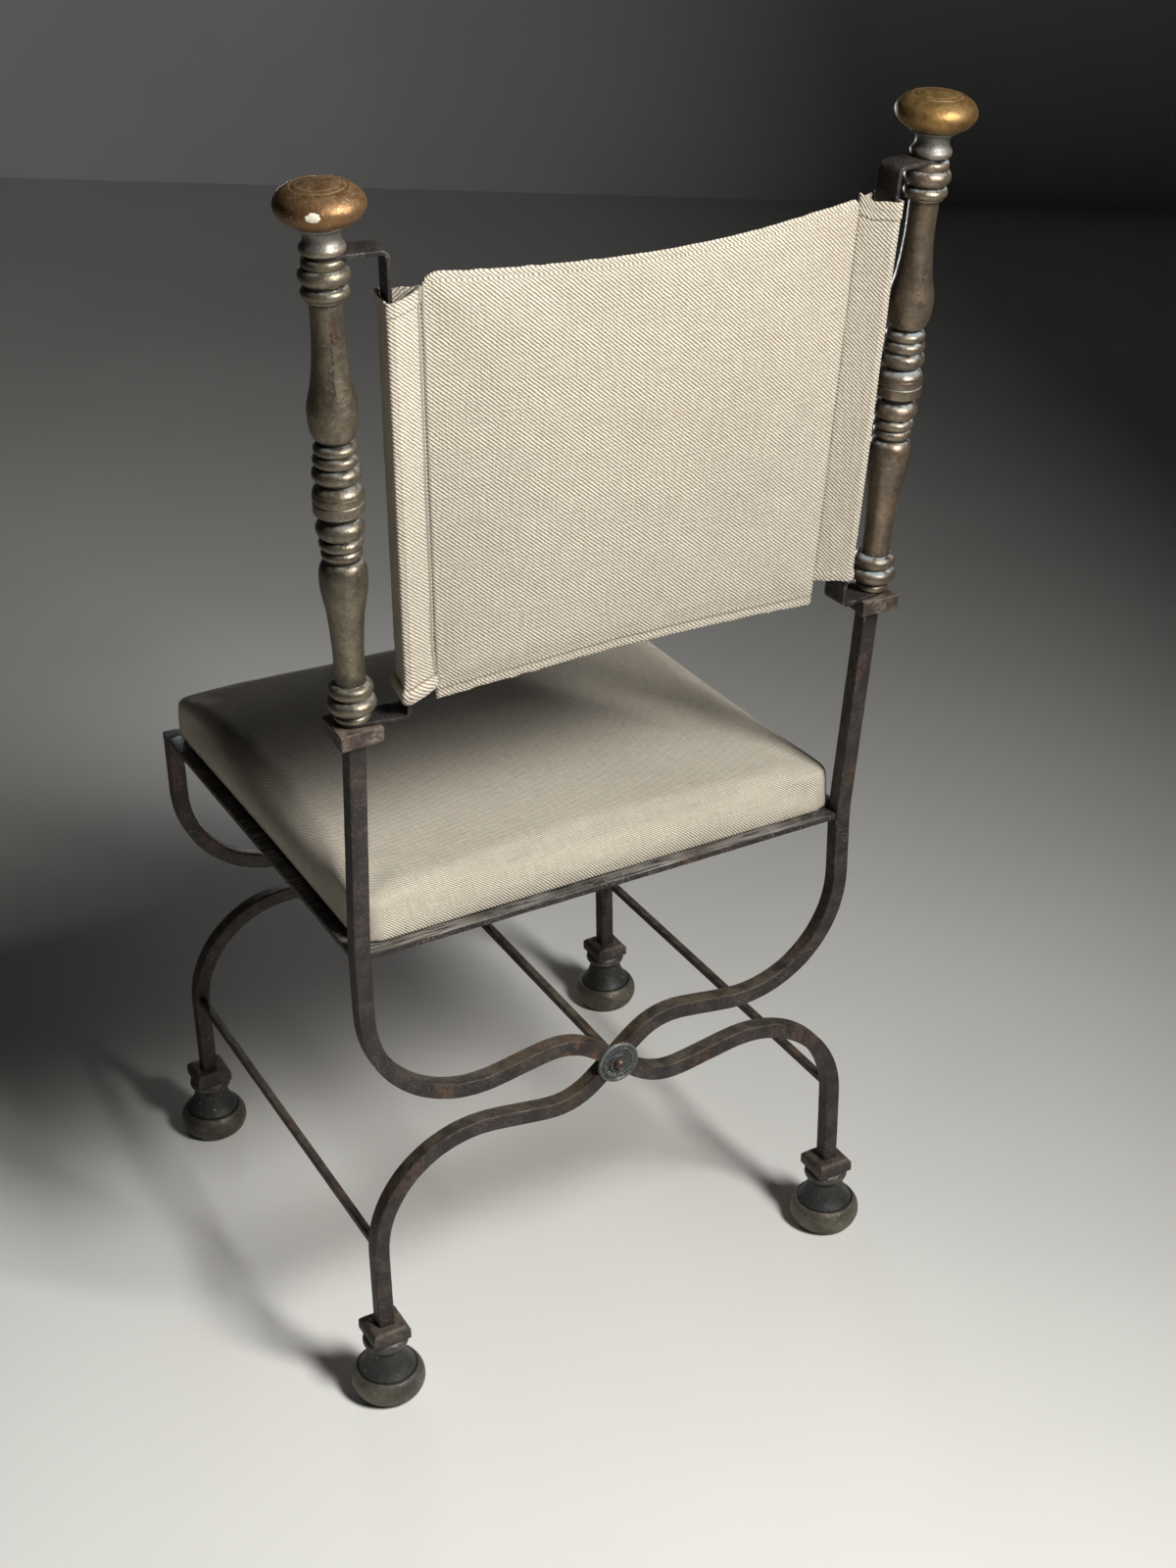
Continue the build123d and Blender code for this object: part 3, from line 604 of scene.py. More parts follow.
def evaluated(obj: Object) -> None:
    """Puts the modified shape of an object in its mesh and clears its modifiers."""
    ready = obj.evaluated_get(bpy.context.evaluated_depsgraph_get())
    mesh = bpy.data.meshes.new_from_object(ready)
    obj.modifiers.clear()
    obj.data = mesh


def keep_values(obj: Object, name: str, values: Sequence[float]) -> None:
    """Stores one number at each point of a mesh."""
    kept = obj.data.attributes.new(name, "FLOAT", "POINT")
    kept.data.foreach_set("value", np.asarray(values, np.float32))


def keep_cloth(obj: Object, places: np.ndarray) -> None:
    """Stores where each point lies on the flat cloth, in metres, as x and y."""
    kept = obj.data.attributes.new("cloth", "FLOAT_VECTOR", "POINT")
    kept.data.foreach_set("vector", np.asarray(places, np.float32).ravel())


def soften(obj: Object, angle: float = 38.0) -> Object:
    """Shades a mesh smooth up to an angle in degrees."""
    obj.data.shade_smooth()
    obj.data.set_sharp_from_angle(angle=math.radians(angle))
    return obj


def paint(obj: Object, finish: Material) -> None:
    """Gives an object one finish in place of any other."""
    obj.data.materials.clear()
    obj.data.materials.append(finish)


def dress(
    obj: Object, body: Body, finish: Material, replaces: Sequence[str] = ()
) -> Object:
    """Gives a piece its finish and its body, and hides the CAD nodes that it stands for.

    Args:
        obj: the finished piece.
        body: body that carries it.
        finish: material.
        replaces: CAD nodes that it stands for.

    Returns:
        The same piece.
    """
    paint(obj, finish)
    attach(obj, body.value)
    if replaces:
        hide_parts(*replaces)
    log.info("%s: %d faces, rides on %s", obj.name, len(obj.data.polygons), body.value)
    return obj


def lean(side: int, rake: float, splay: float) -> Vector:
    """Direction that leans back and outwards, both in degrees."""
    return Vector((side * math.tan(math.radians(splay)), math.tan(math.radians(rake)), 1.0)).normalized()


@dataclass(frozen=True)
class Post:
    """Axis of one rear post: the iron upright and the castings above its plate."""

    side: Side
    spacing: float = 416.0
    upright_rake: float = 7.2
    upright_splay: float = 0.35
    upright_length: float = 188.4
    stack_rake: float = 5.4
    stack_splay: float = 1.7
    plate: float = 12.0

    def upright_top(self) -> Vector:
        """Underside of the plate on the upright's axis."""
        foot = Vector((self.side.value * self.spacing / 2, REAR_Y, RAIL_TOP))
        return foot + lean(self.side.value, self.upright_rake, self.upright_splay) * self.upright_length

    def place(self, height: float = 0.0, swing: float = 0.0) -> Matrix:
        """Matrix for a piece drawn across the post.

        Args:
            height: millimetres above the plate.
            swing: turn about the post in degrees.

        Returns:
            Matrix from millimetres (x to the sitter's left, y back, z up the post) to the chair.
        """
        axis = lean(self.side.value, self.stack_rake, self.stack_splay)
        across = Vector((0.0, 1.0, 0.0)).cross(axis).normalized()
        turn = Matrix((across, axis.cross(across), axis)).transposed().to_4x4()
        origin = self.upright_top() + axis * (self.plate + height)
        return Matrix.Translation(origin * MM) @ turn @ Matrix.Rotation(math.radians(swing), 4, "Z") @ MILLIMETRES


class Outline:
    """Half outline of a turned piece, as radius and height, walked from its bottom up."""

    def __init__(self, radius: float, height: float = 0.0) -> None:
        """Starts on the axis and runs out to the first radius."""
        self.points: list[Point] = [(0.0, height), (radius, height)]

    @property
    def height(self) -> float:
        """Height reached so far."""
        return self.points[-1][1]

    def line(self, *steps: Point) -> "Outline":
        """Straight runs; each step is a radius and a rise above the last point."""
        for radius, rise in steps:
            self.points.append((radius, self.height + rise))
        return self

    def arc(self, middle: Point, end: Point, count: int = 16) -> "Outline":
        """Circular arc through a middle point to an end, both as radius and rise above the start."""
        x0, y0 = self.points[-1]
        a, b, c = complex(x0, y0), complex(middle[0], y0 + middle[1]), complex(end[0], y0 + end[1])
        w = (c - a) / (b - a)
        centre = (b - a) * (w - abs(w) ** 2) / (2j * w.imag) + a
        start, mid, stop = (np.angle(p - centre) for p in (a, b, c))
        sweep = (stop - start) % (2 * math.pi)
        if (mid - start) % (2 * math.pi) > sweep:
            sweep -= 2 * math.pi
        radius = abs(a - centre)
        for i in range(1, count + 1):
            t = start + sweep * i / count
            self.points.append((centre.real + radius * math.cos(t), centre.imag + radius * math.sin(t)))
        return self

    def bead(self, height: float, crest: float, root: float) -> "Outline":
        """Half-round moulding up to the next root."""
        return self.arc((crest, height / 2), (root, height))

    def flow(self, knots: Sequence[Point], start: Point, end: Point | None = None, count: int = 14) -> "Outline":
        """Smooth curve through knots.

        Args:
            knots: radius and rise above the start of the curve.
            start: direction in which it leaves.
            end: direction in which it arrives.
            count: points for each span.

        Returns:
            The same outline.
        """
        base = np.array(self.points[-1])
        marks = [base] + [np.array((r, base[1] + h)) for r, h in knots]
        slopes = [(marks[min(i + 1, len(marks) - 1)] - marks[max(i - 1, 0)]) / 2 for i in range(len(marks))]
        first, last = np.array(start, float), np.array(end if end else slopes[-1], float)
        slopes[0] = first / np.linalg.norm(first) * np.linalg.norm(marks[1] - marks[0])
        slopes[-1] = last / np.linalg.norm(last) * np.linalg.norm(marks[-1] - marks[-2])
        for p, q, m, n in zip(marks, marks[1:], slopes, slopes[1:]):
            for i in range(1, count + 1):
                t = i / count
                spot = (
                    (2 * t**3 - 3 * t**2 + 1) * p + (t**3 - 2 * t**2 + t) * m
                    + (3 * t**2 - 2 * t**3) * q + (t**3 - t**2) * n
                )
                self.points.append((float(spot[0]), float(spot[1])))
        return self

    def worn(
        self, step: float = 0.35, rounds: int = 3, tolerance: float = 0.012, reach: float = 5.0, full: float = 1.4
    ) -> tuple[np.ndarray, np.ndarray]:
        """Outline with its corners rubbed soft.

        Args:
            step: spacing while smoothing.
            rounds: smoothing rounds.
            tolerance: how far a dropped point may lie from the line.
            reach: length of a point's neighbourhood to each side.
            full: how far a point stands out from it to count as 1.

        Returns:
            Points to spin, and at each how far it stands out (1) or back (-1) from its neighbourhood.
        """
        raw = np.array(self.points + [(0.0, self.height)])
        run = np.concatenate([[0.0], np.cumsum(np.linalg.norm(np.diff(raw, axis=0), axis=1))])
        keep = np.concatenate([[True], np.diff(run) > 1e-9])
        raw, run = raw[keep], run[keep]
        marks = np.linspace(0.0, run[-1], max(8, int(run[-1] / step)))
        line = np.stack([np.interp(marks, run, raw[:, i]) for i in (0, 1)], axis=1)
        for _ in range(rounds):
            line[1:-1] = line[1:-1] * 0.5 + (line[:-2] + line[2:]) * 0.25
        window = int(reach / step)
        padded = np.pad(line[:, 0], window, mode="edge")
        mean = np.convolve(padded, np.ones(2 * window + 1) / (2 * window + 1), mode="valid")
        stand = np.clip((line[:, 0] - mean) / full, -1.0, 1.0)
        kept = simplified(line, tolerance)
        line[0, 0] = line[-1, 0] = 0.0
        return line[kept], stand[kept]


def eased(value: float, low: float, high: float) -> float:
    """Share from 0 to 1 eased at both ends while the value goes from low to high."""
    t = min(1.0, max(0.0, (value - low) / (high - low)))
    return t * t * (3 - 2 * t)


def simplified(line: np.ndarray, tolerance: float) -> list[int]:
    """Numbers of the points that a line needs to stay within a tolerance."""
    kept, spans = {0, len(line) - 1}, [(0, len(line) - 1)]
    while spans:
        a, b = spans.pop()
        if b - a < 2:
            continue
        run = line[b] - line[a]
        length = max(float(np.linalg.norm(run)), 1e-9)
        rest = line[a + 1 : b] - line[a]
        away = np.abs(rest[:, 0] * run[1] - rest[:, 1] * run[0]) / length
        worst = int(np.argmax(away))
        if away[worst] > tolerance:
            kept.add(a + 1 + worst)
            spans += [(a, a + 1 + worst), (a + 1 + worst, b)]
    return sorted(kept)


def turned(
    name: str,
    outline: Outline,
    place: Matrix,
    segments: int = 80,
    change: float = 0.0,
    circles: Sequence[float] = (),
    groove: tuple[float, float] | None = None,
) -> Object:
    """Spins an outline into a closed piece that keeps values for its finish.

    Args:
        name: name of the piece.
        outline: half outline in millimetres.
        place: matrix from millimetres to the chair.
        segments: sides of the spun piece.
        change: height at which the finish changes, kept as tone.
        circles: radii of the fine lines turned in its top, kept as line.
        groove: radius and height of a fine dark groove, kept as groove.

    Returns:
        The new object; relief is how far each point stands out from its neighbourhood.
    """
    change_half, line_half, groove_half, far = 1.0, 0.8, 1.1, 9.0
    line, stand = outline.worn()
    points: list[tuple[float, float, float]] = []
    values: list[float] = []
    rings: list[list[int]] = []
    for (radius, height), value in zip(line, stand):
        count = 1 if radius < 1e-6 else segments
        rings.append(list(range(len(points), len(points) + count)))
        for j in range(count):
            turn = 2 * math.pi * j / segments
            points.append((radius * math.cos(turn), radius * math.sin(turn), height))
            values.append(float(value))
    faces: list[tuple[int, ...]] = []
    for low, high in zip(rings, rings[1:]):
        for j in range(segments):
            k = (j + 1) % segments
            if len(low) == 1:
                faces.append((low[0], high[k], high[j]))
            elif len(high) == 1:
                faces.append((low[j], low[k], high[0]))
            else:
                faces.append((low[j], low[k], high[k], high[j]))
    made = mesh_object(name, points, faces, place)
    keep_values(made, "relief", values)
    keep_values(made, "tone", [eased(p[2], change - change_half, change + change_half) for p in points])
    top = 0.8 * outline.height
    near = [min([abs(math.hypot(p[0], p[1]) - c) for c in circles if p[2] > top] or [far]) for p in points]
    keep_values(made, "line", [max(0.0, 1.0 - gap / line_half) for gap in near])
    if groove is not None:
        gaps = [math.hypot(math.hypot(p[0], p[1]) - groove[0], p[2] - groove[1]) for p in points]
        keep_values(made, "groove", [eased(groove_half - gap, 0.0, 0.7) for gap in gaps])
    return soften(made, 50.0)


def block(
    name: str,
    size: tuple[float, float, float],
    edge: float,
    place: Matrix,
    cell: float,
    shape: Callable[[Vector], Vector] | None,
    uneven: float,
) -> Object:
    """Hand-dressed block with soft edges, centred on its place.

    Args:
        name: name of the piece.
        size: full lengths.
        edge: radius of the edges.
        place: matrix from millimetres to the chair.
        cell: spacing of the mesh.
        shape: reshapes each point, such as a bevel or a mitre.
        uneven: depth of the hammered unevenness.

    Returns:
        The new object, with its edge value kept.
    """
    stops = []
    for length in size:
        half = length / 2
        count = max(2, round((length - 2 * edge) / cell))
        inner = np.linspace(-half + edge, half - edge, count + 1)
        stops.append([-half, -half + edge * 0.4, *inner, half - edge * 0.4, half])
    last = [len(s) - 1 for s in stops]
    numbers: dict[tuple[int, int, int], int] = {}
    points: list[Vector] = []
    edges: list[float] = []

    def corner(key: tuple[int, int, int]) -> int:
        """Number of the point at a place in the lattice."""
        if key not in numbers:
            raw = Vector([stops[a][key[a]] for a in range(3)])
            inner = Vector([max(-size[a] / 2 + edge, min(size[a] / 2 - edge, raw[a])) for a in range(3)])
            out = raw - inner
            spread = sorted(abs(c) for c in out)
            spot = inner + out * (spread[2] / out.length if out.length else 1.0)
            spot = shape(spot) if shape else spot
            world = place @ spot
            wave = noise.noise_vector(world * 60.0) * 0.6 + noise.noise_vector(world * 160.0) * 0.4
            numbers[key] = len(points)
            points.append(spot + wave * uneven)
            edges.append(spread[1] / edge)
        return numbers[key]

    faces = []
    for axis in range(3):
        u, v = (axis + 1) % 3, (axis + 2) % 3
        for end in (0, last[axis]):
            for i in range(last[u]):
                for j in range(last[v]):
                    ring = []
                    for di, dj in ((0, 0), (1, 0), (1, 1), (0, 1)):
                        key = [0, 0, 0]
                        key[axis], key[u], key[v] = end, i + di, j + dj
                        ring.append(corner((key[0], key[1], key[2])))
                    faces.append(tuple(ring if end else reversed(ring)))
    made = mesh_object(name, points, faces, place)
    keep_values(made, "edge", edges)
    return soften(made, 60.0)


def belt_faces(rings: int, count: int) -> list[tuple[int, ...]]:
    """Faces between closed rings of points.

    Args:
        rings: number of rings, one after the other in the mesh.
        count: points in each ring.

    Returns:
        Corner numbers of each face.
    """
    faces: list[tuple[int, ...]] = []
    for k in range(rings - 1):
        for i in range(count):
            j = (i + 1) % count
            faces.append((k * count + i, k * count + j, (k + 1) * count + j, (k + 1) * count + i))
    return faces


# ---- geometry node trees ----
def finished(
    graph: Graph, geometry: Node, given: Node, result: Node
) -> Tree:
    """Ends a Geometry Nodes tree with real geometry that carries its finish.

    Args:
        graph: graph of the tree.
        geometry: node that gives the shape.
        given: input node, with the finish.
        result: output node.

    Returns:
        The tree.
    """
    plain = graph.add("GeometryNodeRealizeInstances", {0: geometry})
    done = graph.add("GeometryNodeSetMaterial", {"Geometry": plain, "Material": given.outputs["Finish"]})
    graph.feed(result.inputs[0], done)
    return graph.tree


def forged_bar_tree() -> Tree:
    """Geometry Nodes: sweeps a soft-edged bar along a path, makes it uneven and cuts its halving joint."""
    values = {
        "Path": GEOMETRY, "Width": 0.013, "Thickness": 0.013, "Edge Radius": 0.001, "Step": 0.004,
        "Unevenness": 0.0002, "Hammer Size": 55.0, "Seed": 1.0, "Halved": False, "Joint Place": VECTOR,
        "Joint Turn": VECTOR, "Joint Size": VECTOR, "Finish": FINISH,
    }
    graph, given, result = new_tree("forged_bar", "GeometryNodeTree", values, {"Bar": GEOMETRY})
    inputs = given.outputs
    path = graph.add("GeometryNodeMeshToCurve", {"Mesh": inputs["Path"]})
    path = graph.add("GeometryNodeResampleCurve", {"Curve": path, "Length": inputs["Step"]}, mode="LENGTH")
    section = graph.add(
        "GeometryNodeCurvePrimitiveQuadrilateral", {"Width": inputs["Width"], "Height": inputs["Thickness"]}
    )
    corners = {"Curve": section, "Count": 3, "Radius": inputs["Edge Radius"]}
    section = graph.add("GeometryNodeFilletCurve", corners, mode="POLY")
    section = graph.add("GeometryNodeSubdivideCurve", {"Curve": section, "Cuts": 2})
    spot = graph.add("ShaderNodeSeparateXYZ", {0: graph.add("GeometryNodeInputPosition")})
    nearness, edge_reach = [], 0.003
    for number, size in ((0, "Width"), (1, "Thickness")):
        half = graph.times(inputs[size], 0.5)
        inside = graph.minus(half, graph.math("ABSOLUTE", spot.outputs[number]))
        nearness.append(graph.minus(1.0, graph.math("DIVIDE", inside, edge_reach)))
    edge = graph.add("ShaderNodeClamp", {"Value": graph.math("MINIMUM", *nearness)}).outputs[0]
    section = graph.add(
        "GeometryNodeStoreNamedAttribute", {"Geometry": section, "Name": "edge", "Value": edge},
        data_type="FLOAT", domain="POINT",
    )
    bar = graph.add(
        "GeometryNodeCurveToMesh", {"Curve": path, "Profile Curve": section, "Fill Caps": True}
    )
    waves = []
    for share, scale in ((0.65, 1.0), (0.35, 3.1)):
        size = graph.times(inputs["Hammer Size"], scale)
        spread = {"Scale": size, "W": inputs["Seed"], "Detail": 2.0}
        cloud = graph.add("ShaderNodeTexNoise", spread, noise_dimensions="4D")
        waves.append(graph.times(graph.minus(cloud, 0.5), 2 * share))
    amount = graph.times(graph.plus(*waves), inputs["Unevenness"])
    normal = graph.add("GeometryNodeInputNormal")
    shift = graph.add("ShaderNodeVectorMath", {0: normal, "Scale": amount}, operation="SCALE")
    bar = graph.add("GeometryNodeSetPosition", {"Geometry": bar, "Offset": shift})
    cutter = graph.add("GeometryNodeMeshCube", {"Size": inputs["Joint Size"]})
    cutter = graph.add(
        "GeometryNodeTransform",
        {"Geometry": cutter, "Translation": inputs["Joint Place"], "Rotation": inputs["Joint Turn"]},
    )
    halved = graph.add(
        "GeometryNodeMeshBoolean", {0: bar, 1: cutter}, operation="DIFFERENCE", solver="EXACT"
    )
    chosen = graph.add(
        "GeometryNodeSwitch", {"Switch": inputs["Halved"], "False": bar, "True": halved},
        input_type="GEOMETRY",
    )
    return finished(graph, chosen, given, result)


def studded_ring_tree() -> Tree:
    """Geometry Nodes: a ring of small flattened beads."""
    values = {
        "Start": GEOMETRY, "Count": 24, "Ring Radius": 0.011, "Bead Radius": 0.0012, "Bead Height": 0.0008,
        "Finish": FINISH,
    }
    graph, given, result = new_tree("studded_ring", "GeometryNodeTree", values, {"Beads": GEOMETRY})
    inputs = given.outputs
    ring = graph.add("GeometryNodeMeshCircle", {"Vertices": inputs["Count"], "Radius": inputs["Ring Radius"]})
    stud = graph.add("GeometryNodeMeshIcoSphere", {"Radius": 1.0, "Subdivisions": 2})
    size = graph.add(
        "ShaderNodeCombineXYZ", {0: inputs["Bead Radius"], 1: inputs["Bead Radius"], 2: inputs["Bead Height"]}
    )
    studs = graph.add(
        "GeometryNodeInstanceOnPoints",
        {"Points": ring, "Instance": stud, "Scale": size},
    )
    return finished(graph, studs, given, result)


def stitch_tree() -> Tree:
    """Geometry Nodes: a row of sewn stitches along a path."""
    values = {"Path": GEOMETRY, "Pitch": 0.0032, "Length": 0.0011, "Thread": 0.00032, "Finish": FINISH}
    graph, given, result = new_tree("stitches", "GeometryNodeTree", values, {"Stitches": GEOMETRY})
    inputs = given.outputs
    path = graph.add("GeometryNodeMeshToCurve", {"Mesh": inputs["Path"]})
    spots = graph.add("GeometryNodeResampleCurve", {"Curve": path, "Length": inputs["Pitch"]}, mode="LENGTH")
    thread = graph.add("GeometryNodeMeshIcoSphere", {"Radius": 1.0, "Subdivisions": 1})
    heading = graph.add("GeometryNodeInputTangent")
    along = graph.add("FunctionNodeAlignRotationToVector", {"Vector": heading}, axis="X")
    size = graph.add("ShaderNodeCombineXYZ", {0: inputs["Length"], 1: inputs["Thread"], 2: inputs["Thread"]})
    row = graph.add(
        "GeometryNodeInstanceOnPoints",
        {
            "Points": spots, "Instance": thread,
            "Rotation": along, "Scale": size,
        },
    )
    return finished(graph, row, given, result)


def grown(
    name: str, tree: Tree, path: Sequence[Any], values: dict[str, Any], place: Matrix = Matrix.Identity(4)
) -> Object:
    """Runs a Geometry Nodes tree on a path and keeps the result as a plain mesh.

    Args:
        name: name of the piece.
        tree: the Geometry Nodes tree.
        path: points in metres, joined in order.
        values: input name to value.
        place: matrix that the result is moved by.

    Returns:
        The new object.
    """
    mesh = bpy.data.meshes.new(name + "_path")
    mesh.from_pydata([tuple(p) for p in path], [(i, i + 1) for i in range(len(path) - 1)], [])
    source = placed(mesh.name, mesh)
    modifier = source.modifiers.new("grow", "NODES")
    modifier.node_group = tree
    sockets = {item.name: item.identifier for item in tree.interface.items_tree if item.in_out == "INPUT"}
    for label, value in values.items():
        modifier[sockets[label]] = value
    evaluated(source)
    result = source.data
    bpy.data.objects.remove(source)
    result.name = name
    result.transform(place)
    return placed(name, result)


FORGED_BAR = forged_bar_tree()
STUDDED_RING = studded_ring_tree()
STITCHES = stitch_tree()


# ---- iron frames ----
@dataclass
class XFrame:
    """Two S-shaped bars halved into each other where they cross."""

    word: str
    plane_y: float
    rises: bool
    finish: Material
    upper_spacing: float = 416.0
    lower_spacing: float = 421.0
    leg_foot: float = 69.5
    crossing_angle: float = 40.0
    crossing_flat: float = 24.5
    hump_radius: float = 53.0
    fall_angle: float = 9.2
    bend_radius: float = 90.0
    clearance: float = 0.05
    step: float = 3.0
    upright_steps: int = 50
    smoothing: int = 10

    def half(self, half_spread: float, rise: float) -> list[Point]:
        """Centreline of half a bar.

        Args:
            half_spread: how far out its end stands.
            rise: how far above or below the crossing it ends.

        Returns:
            Points from the crossing, with x outwards and y away from the crossing.
        """
        up, down = math.radians(self.crossing_angle), math.radians(self.fall_angle)
        used = (
            self.crossing_flat * math.cos(up)
            + self.hump_radius * (math.sin(up) + math.sin(down))
            + self.bend_radius * (1 + math.sin(down))
        )
        slope = (half_spread - used) / math.cos(down)
        spot, heading, points = complex(0, 0), up, [(0.0, 0.0)]
        for run, turn in (
            (self.crossing_flat, 0.0), (self.hump_radius * (up + down), -(up + down)), (slope, 0.0),
            (self.bend_radius * (math.pi / 2 + down), math.pi / 2 + down),
        ):
            count = max(2, round(run / self.step))
            for _ in range(count):
                heading += turn / count / 2
                spot += run / count * complex(math.cos(heading), math.sin(heading))
                heading += turn / count / 2
                points.append((spot.real, spot.imag))
        count = max(2, round((rise - spot.imag) / self.step))
        points += [(half_spread, spot.imag + (rise - spot.imag) * i / count) for i in range(1, count + 1)]
        return points

    def path(self, hand: Side) -> list[Vector]:
        """Centreline of one bar in metres, from its foot to its upper end."""
        lower = self.half(self.lower_spacing / 2, CROSSING - self.leg_foot)
        upper = self.half(self.upper_spacing / 2, RAIL_TOP - CROSSING)
        h = hand.value
        points = [Vector((-h * x, self.plane_y, CROSSING - z)) for x, z in reversed(lower)]
        points += [Vector((h * x, self.plane_y, CROSSING + z)) for x, z in upper[1:]]
        if self.rises:
            foot, top = points[-1].copy(), Post(hand).upright_top()
            points += [foot.lerp(top, i / self.upright_steps) for i in range(1, self.upright_steps + 1)]
            for _ in range(self.smoothing):
                middle = [(a + 2 * b + c) / 4 for a, b, c in zip(points, points[1:], points[2:])]
                points = [points[0], *middle, points[-1]]
        return [p * MM for p in points]

    def build(self) -> None:
        """Makes both bars of the frame."""
        for hand in Side:
            lap = BAR / 4 * hand.value
            name = f"{self.word}_s_bar_{hand.word}"
            bar = grown(
                name,
                FORGED_BAR,
                self.path(hand),
                {
                    "Width": BAR * MM, "Thickness": BAR * MM, "Edge Radius": 0.0013, "Step": 0.004,
                    "Unevenness": 0.00032, "Seed": 3.0 * hand.value + self.plane_y, "Halved": True,
                    "Joint Place": (0.0, (self.plane_y + lap) * MM, CROSSING * MM),
                    "Joint Turn": (0.0, math.radians(self.crossing_angle) * hand.value, 0.0),
                    "Joint Size": (3 * BAR * MM, (BAR / 2 + 2 * self.clearance) * MM, (BAR + 2 * self.clearance) * MM),
                    "Finish": self.finish,
                },
            )
            dress(soften(bar), Body.FRAME, self.finish, [f"{self.word}_bar_{hand.word}_post"])


@dataclass
class SeatFrame:
    """Four flat rails welded between the posts, mitred at the corners."""

    finish: Material
    half_width: float = 213.9
    half_depth: float = 203.4
    post_face_x: float = 201.5
    post_face_y: float = 191.0
    rail_width: float = 25.0
    rail_thickness: float = 5.0

    def rail(self, name: str, turn: float, outer: float, face: float, side_face: float) -> None:
        """Makes one rail.

        Args:
            name: node that it stands for.
            turn: heading of its outer side in degrees, 0 for the rear rail.
            outer: distance from the middle of the seat to the outer side.
            face: half length between the posts.
            side_face: distance at which the mitre begins.
        """
        centre = outer - self.rail_width / 2

        def mitre(spot: Vector) -> Vector:
            """Shortens the rail towards its inner side."""
            reach = face - max(0.0, side_face - (spot.y + centre))
            return Vector((spot.x * reach / face, spot.y, spot.z))

        place = (
            Matrix.Translation(Vector((0.0, MIDDLE_Y, RAIL_TOP - self.rail_thickness / 2)) * MM)
            @ Matrix.Rotation(math.radians(turn), 4, "Z")
            @ Matrix.Translation((0.0, centre * MM, 0.0))
            @ MILLIMETRES
        )
        rail = block(f"{name}_bar", (2 * face, self.rail_width, self.rail_thickness), 0.7, place, 5.0, mitre, 0.25)
        dress(rail, Body.FRAME, self.finish, [name])

    def build(self) -> None:
        """Makes the four rails."""
        across = (self.half_depth, self.post_face_x, self.post_face_y)
        along = (self.half_width, self.post_face_y, self.post_face_x)
        rails = (("rear", 0.0, across), ("front", 180.0, across), ("left", -90.0, along), ("right", 90.0, along))
        for word, turn, sizes in rails:
            self.rail(f"seat_rail_{word}", turn, *sizes)


@dataclass
class Rods:
    """Square rods between the front and the rear frame."""

    finish: Material
    rod: float = 6.4
    stretcher_height: float = 144.5

    def build(self) -> None:
        """Makes the two side stretchers and the rod between the crossings."""
        rows = (
            ("side_stretcher_left", LEG_X, self.stretcher_height),
            ("side_stretcher_right", -LEG_X, self.stretcher_height),
            ("pivot_rod", 0.0, CROSSING),
        )
        for number, (name, x, z) in enumerate(rows):
            ends = (FRONT_Y + BAR / 2, REAR_Y - BAR / 2)
            path = [Vector((x, ends[0] + (ends[1] - ends[0]) * i / 60, z)) * MM for i in range(61)]
            rod = grown(
                f"{name}_bar",
                FORGED_BAR,
                path,
                {
                    "Width": self.rod * MM, "Thickness": self.rod * MM, "Edge Radius": 0.0007,
                    "Step": 0.005, "Unevenness": 0.00022, "Seed": 11.0 + number, "Finish": self.finish,
                },
            )
            dress(soften(rod), Body.FRAME, self.finish, [name])


# ---- feet ----
@dataclass
class Feet:
    """Turned bronze feet, each under a square iron collar."""

    bronze: Material
    iron: Material
    height: float = 57.5
    collar_size: float = 32.0
    collar_height: float = 12.0
    collar_bevel: float = 3.0

    def outline(self) -> Outline:
        """Bun, groove, bell and bead."""
        foot = Outline(20.5).arc((25.6, 2.6), (27.6, 5.2)).line((27.1, 0.5), (27.9, 0.6))
        foot.arc((29.4, 3.4), (29.8, 7.7)).arc((28.71, 5.65), (25.6, 10.5)).line((23.2, 0.5), (23.2, 0.5))
        return foot.arc((17.0, 10.5), (14.2, 22.0)).arc((18.5, 5.7), (15.5, 10.0))

    def bevel(self, spot: Vector) -> Vector:
        """Slopes the top of the collar."""
        over = max(0.0, spot.z - (self.collar_height / 2 - self.collar_bevel))
        share = 1 - over / (self.collar_size / 2)
        return Vector((spot.x * share, spot.y * share, spot.z))

    def build(self) -> None:
        """Makes the four feet and their collars."""
        size = (self.collar_size, self.collar_size, self.collar_height)
        for row, y in (("rear", REAR_Y), ("front", FRONT_Y)):
            for side in Side:
                spot = Vector((side.value * LEG_X, y, 0.0)) * MM
                place = Matrix.Translation(spot) @ MILLIMETRES
                foot = turned(f"turned_foot_{row}_{side.word}", self.outline(), place, change=25.2, groove=(23.4, 25.0))
                dress(foot, Body.FRAME, self.bronze, [f"foot_{row}_{side.word}"])
                lift = Vector((0.0, 0.0, (self.height + self.collar_height / 2) * MM))
                place = Matrix.Translation(spot + lift) @ MILLIMETRES
                collar = block(f"leg_collar_{row}_{side.word}", size, 0.9, place, 2.6, self.bevel, 0.22)
                dress(collar, Body.FRAME, self.iron, [f"collar_{row}_{side.word}"])


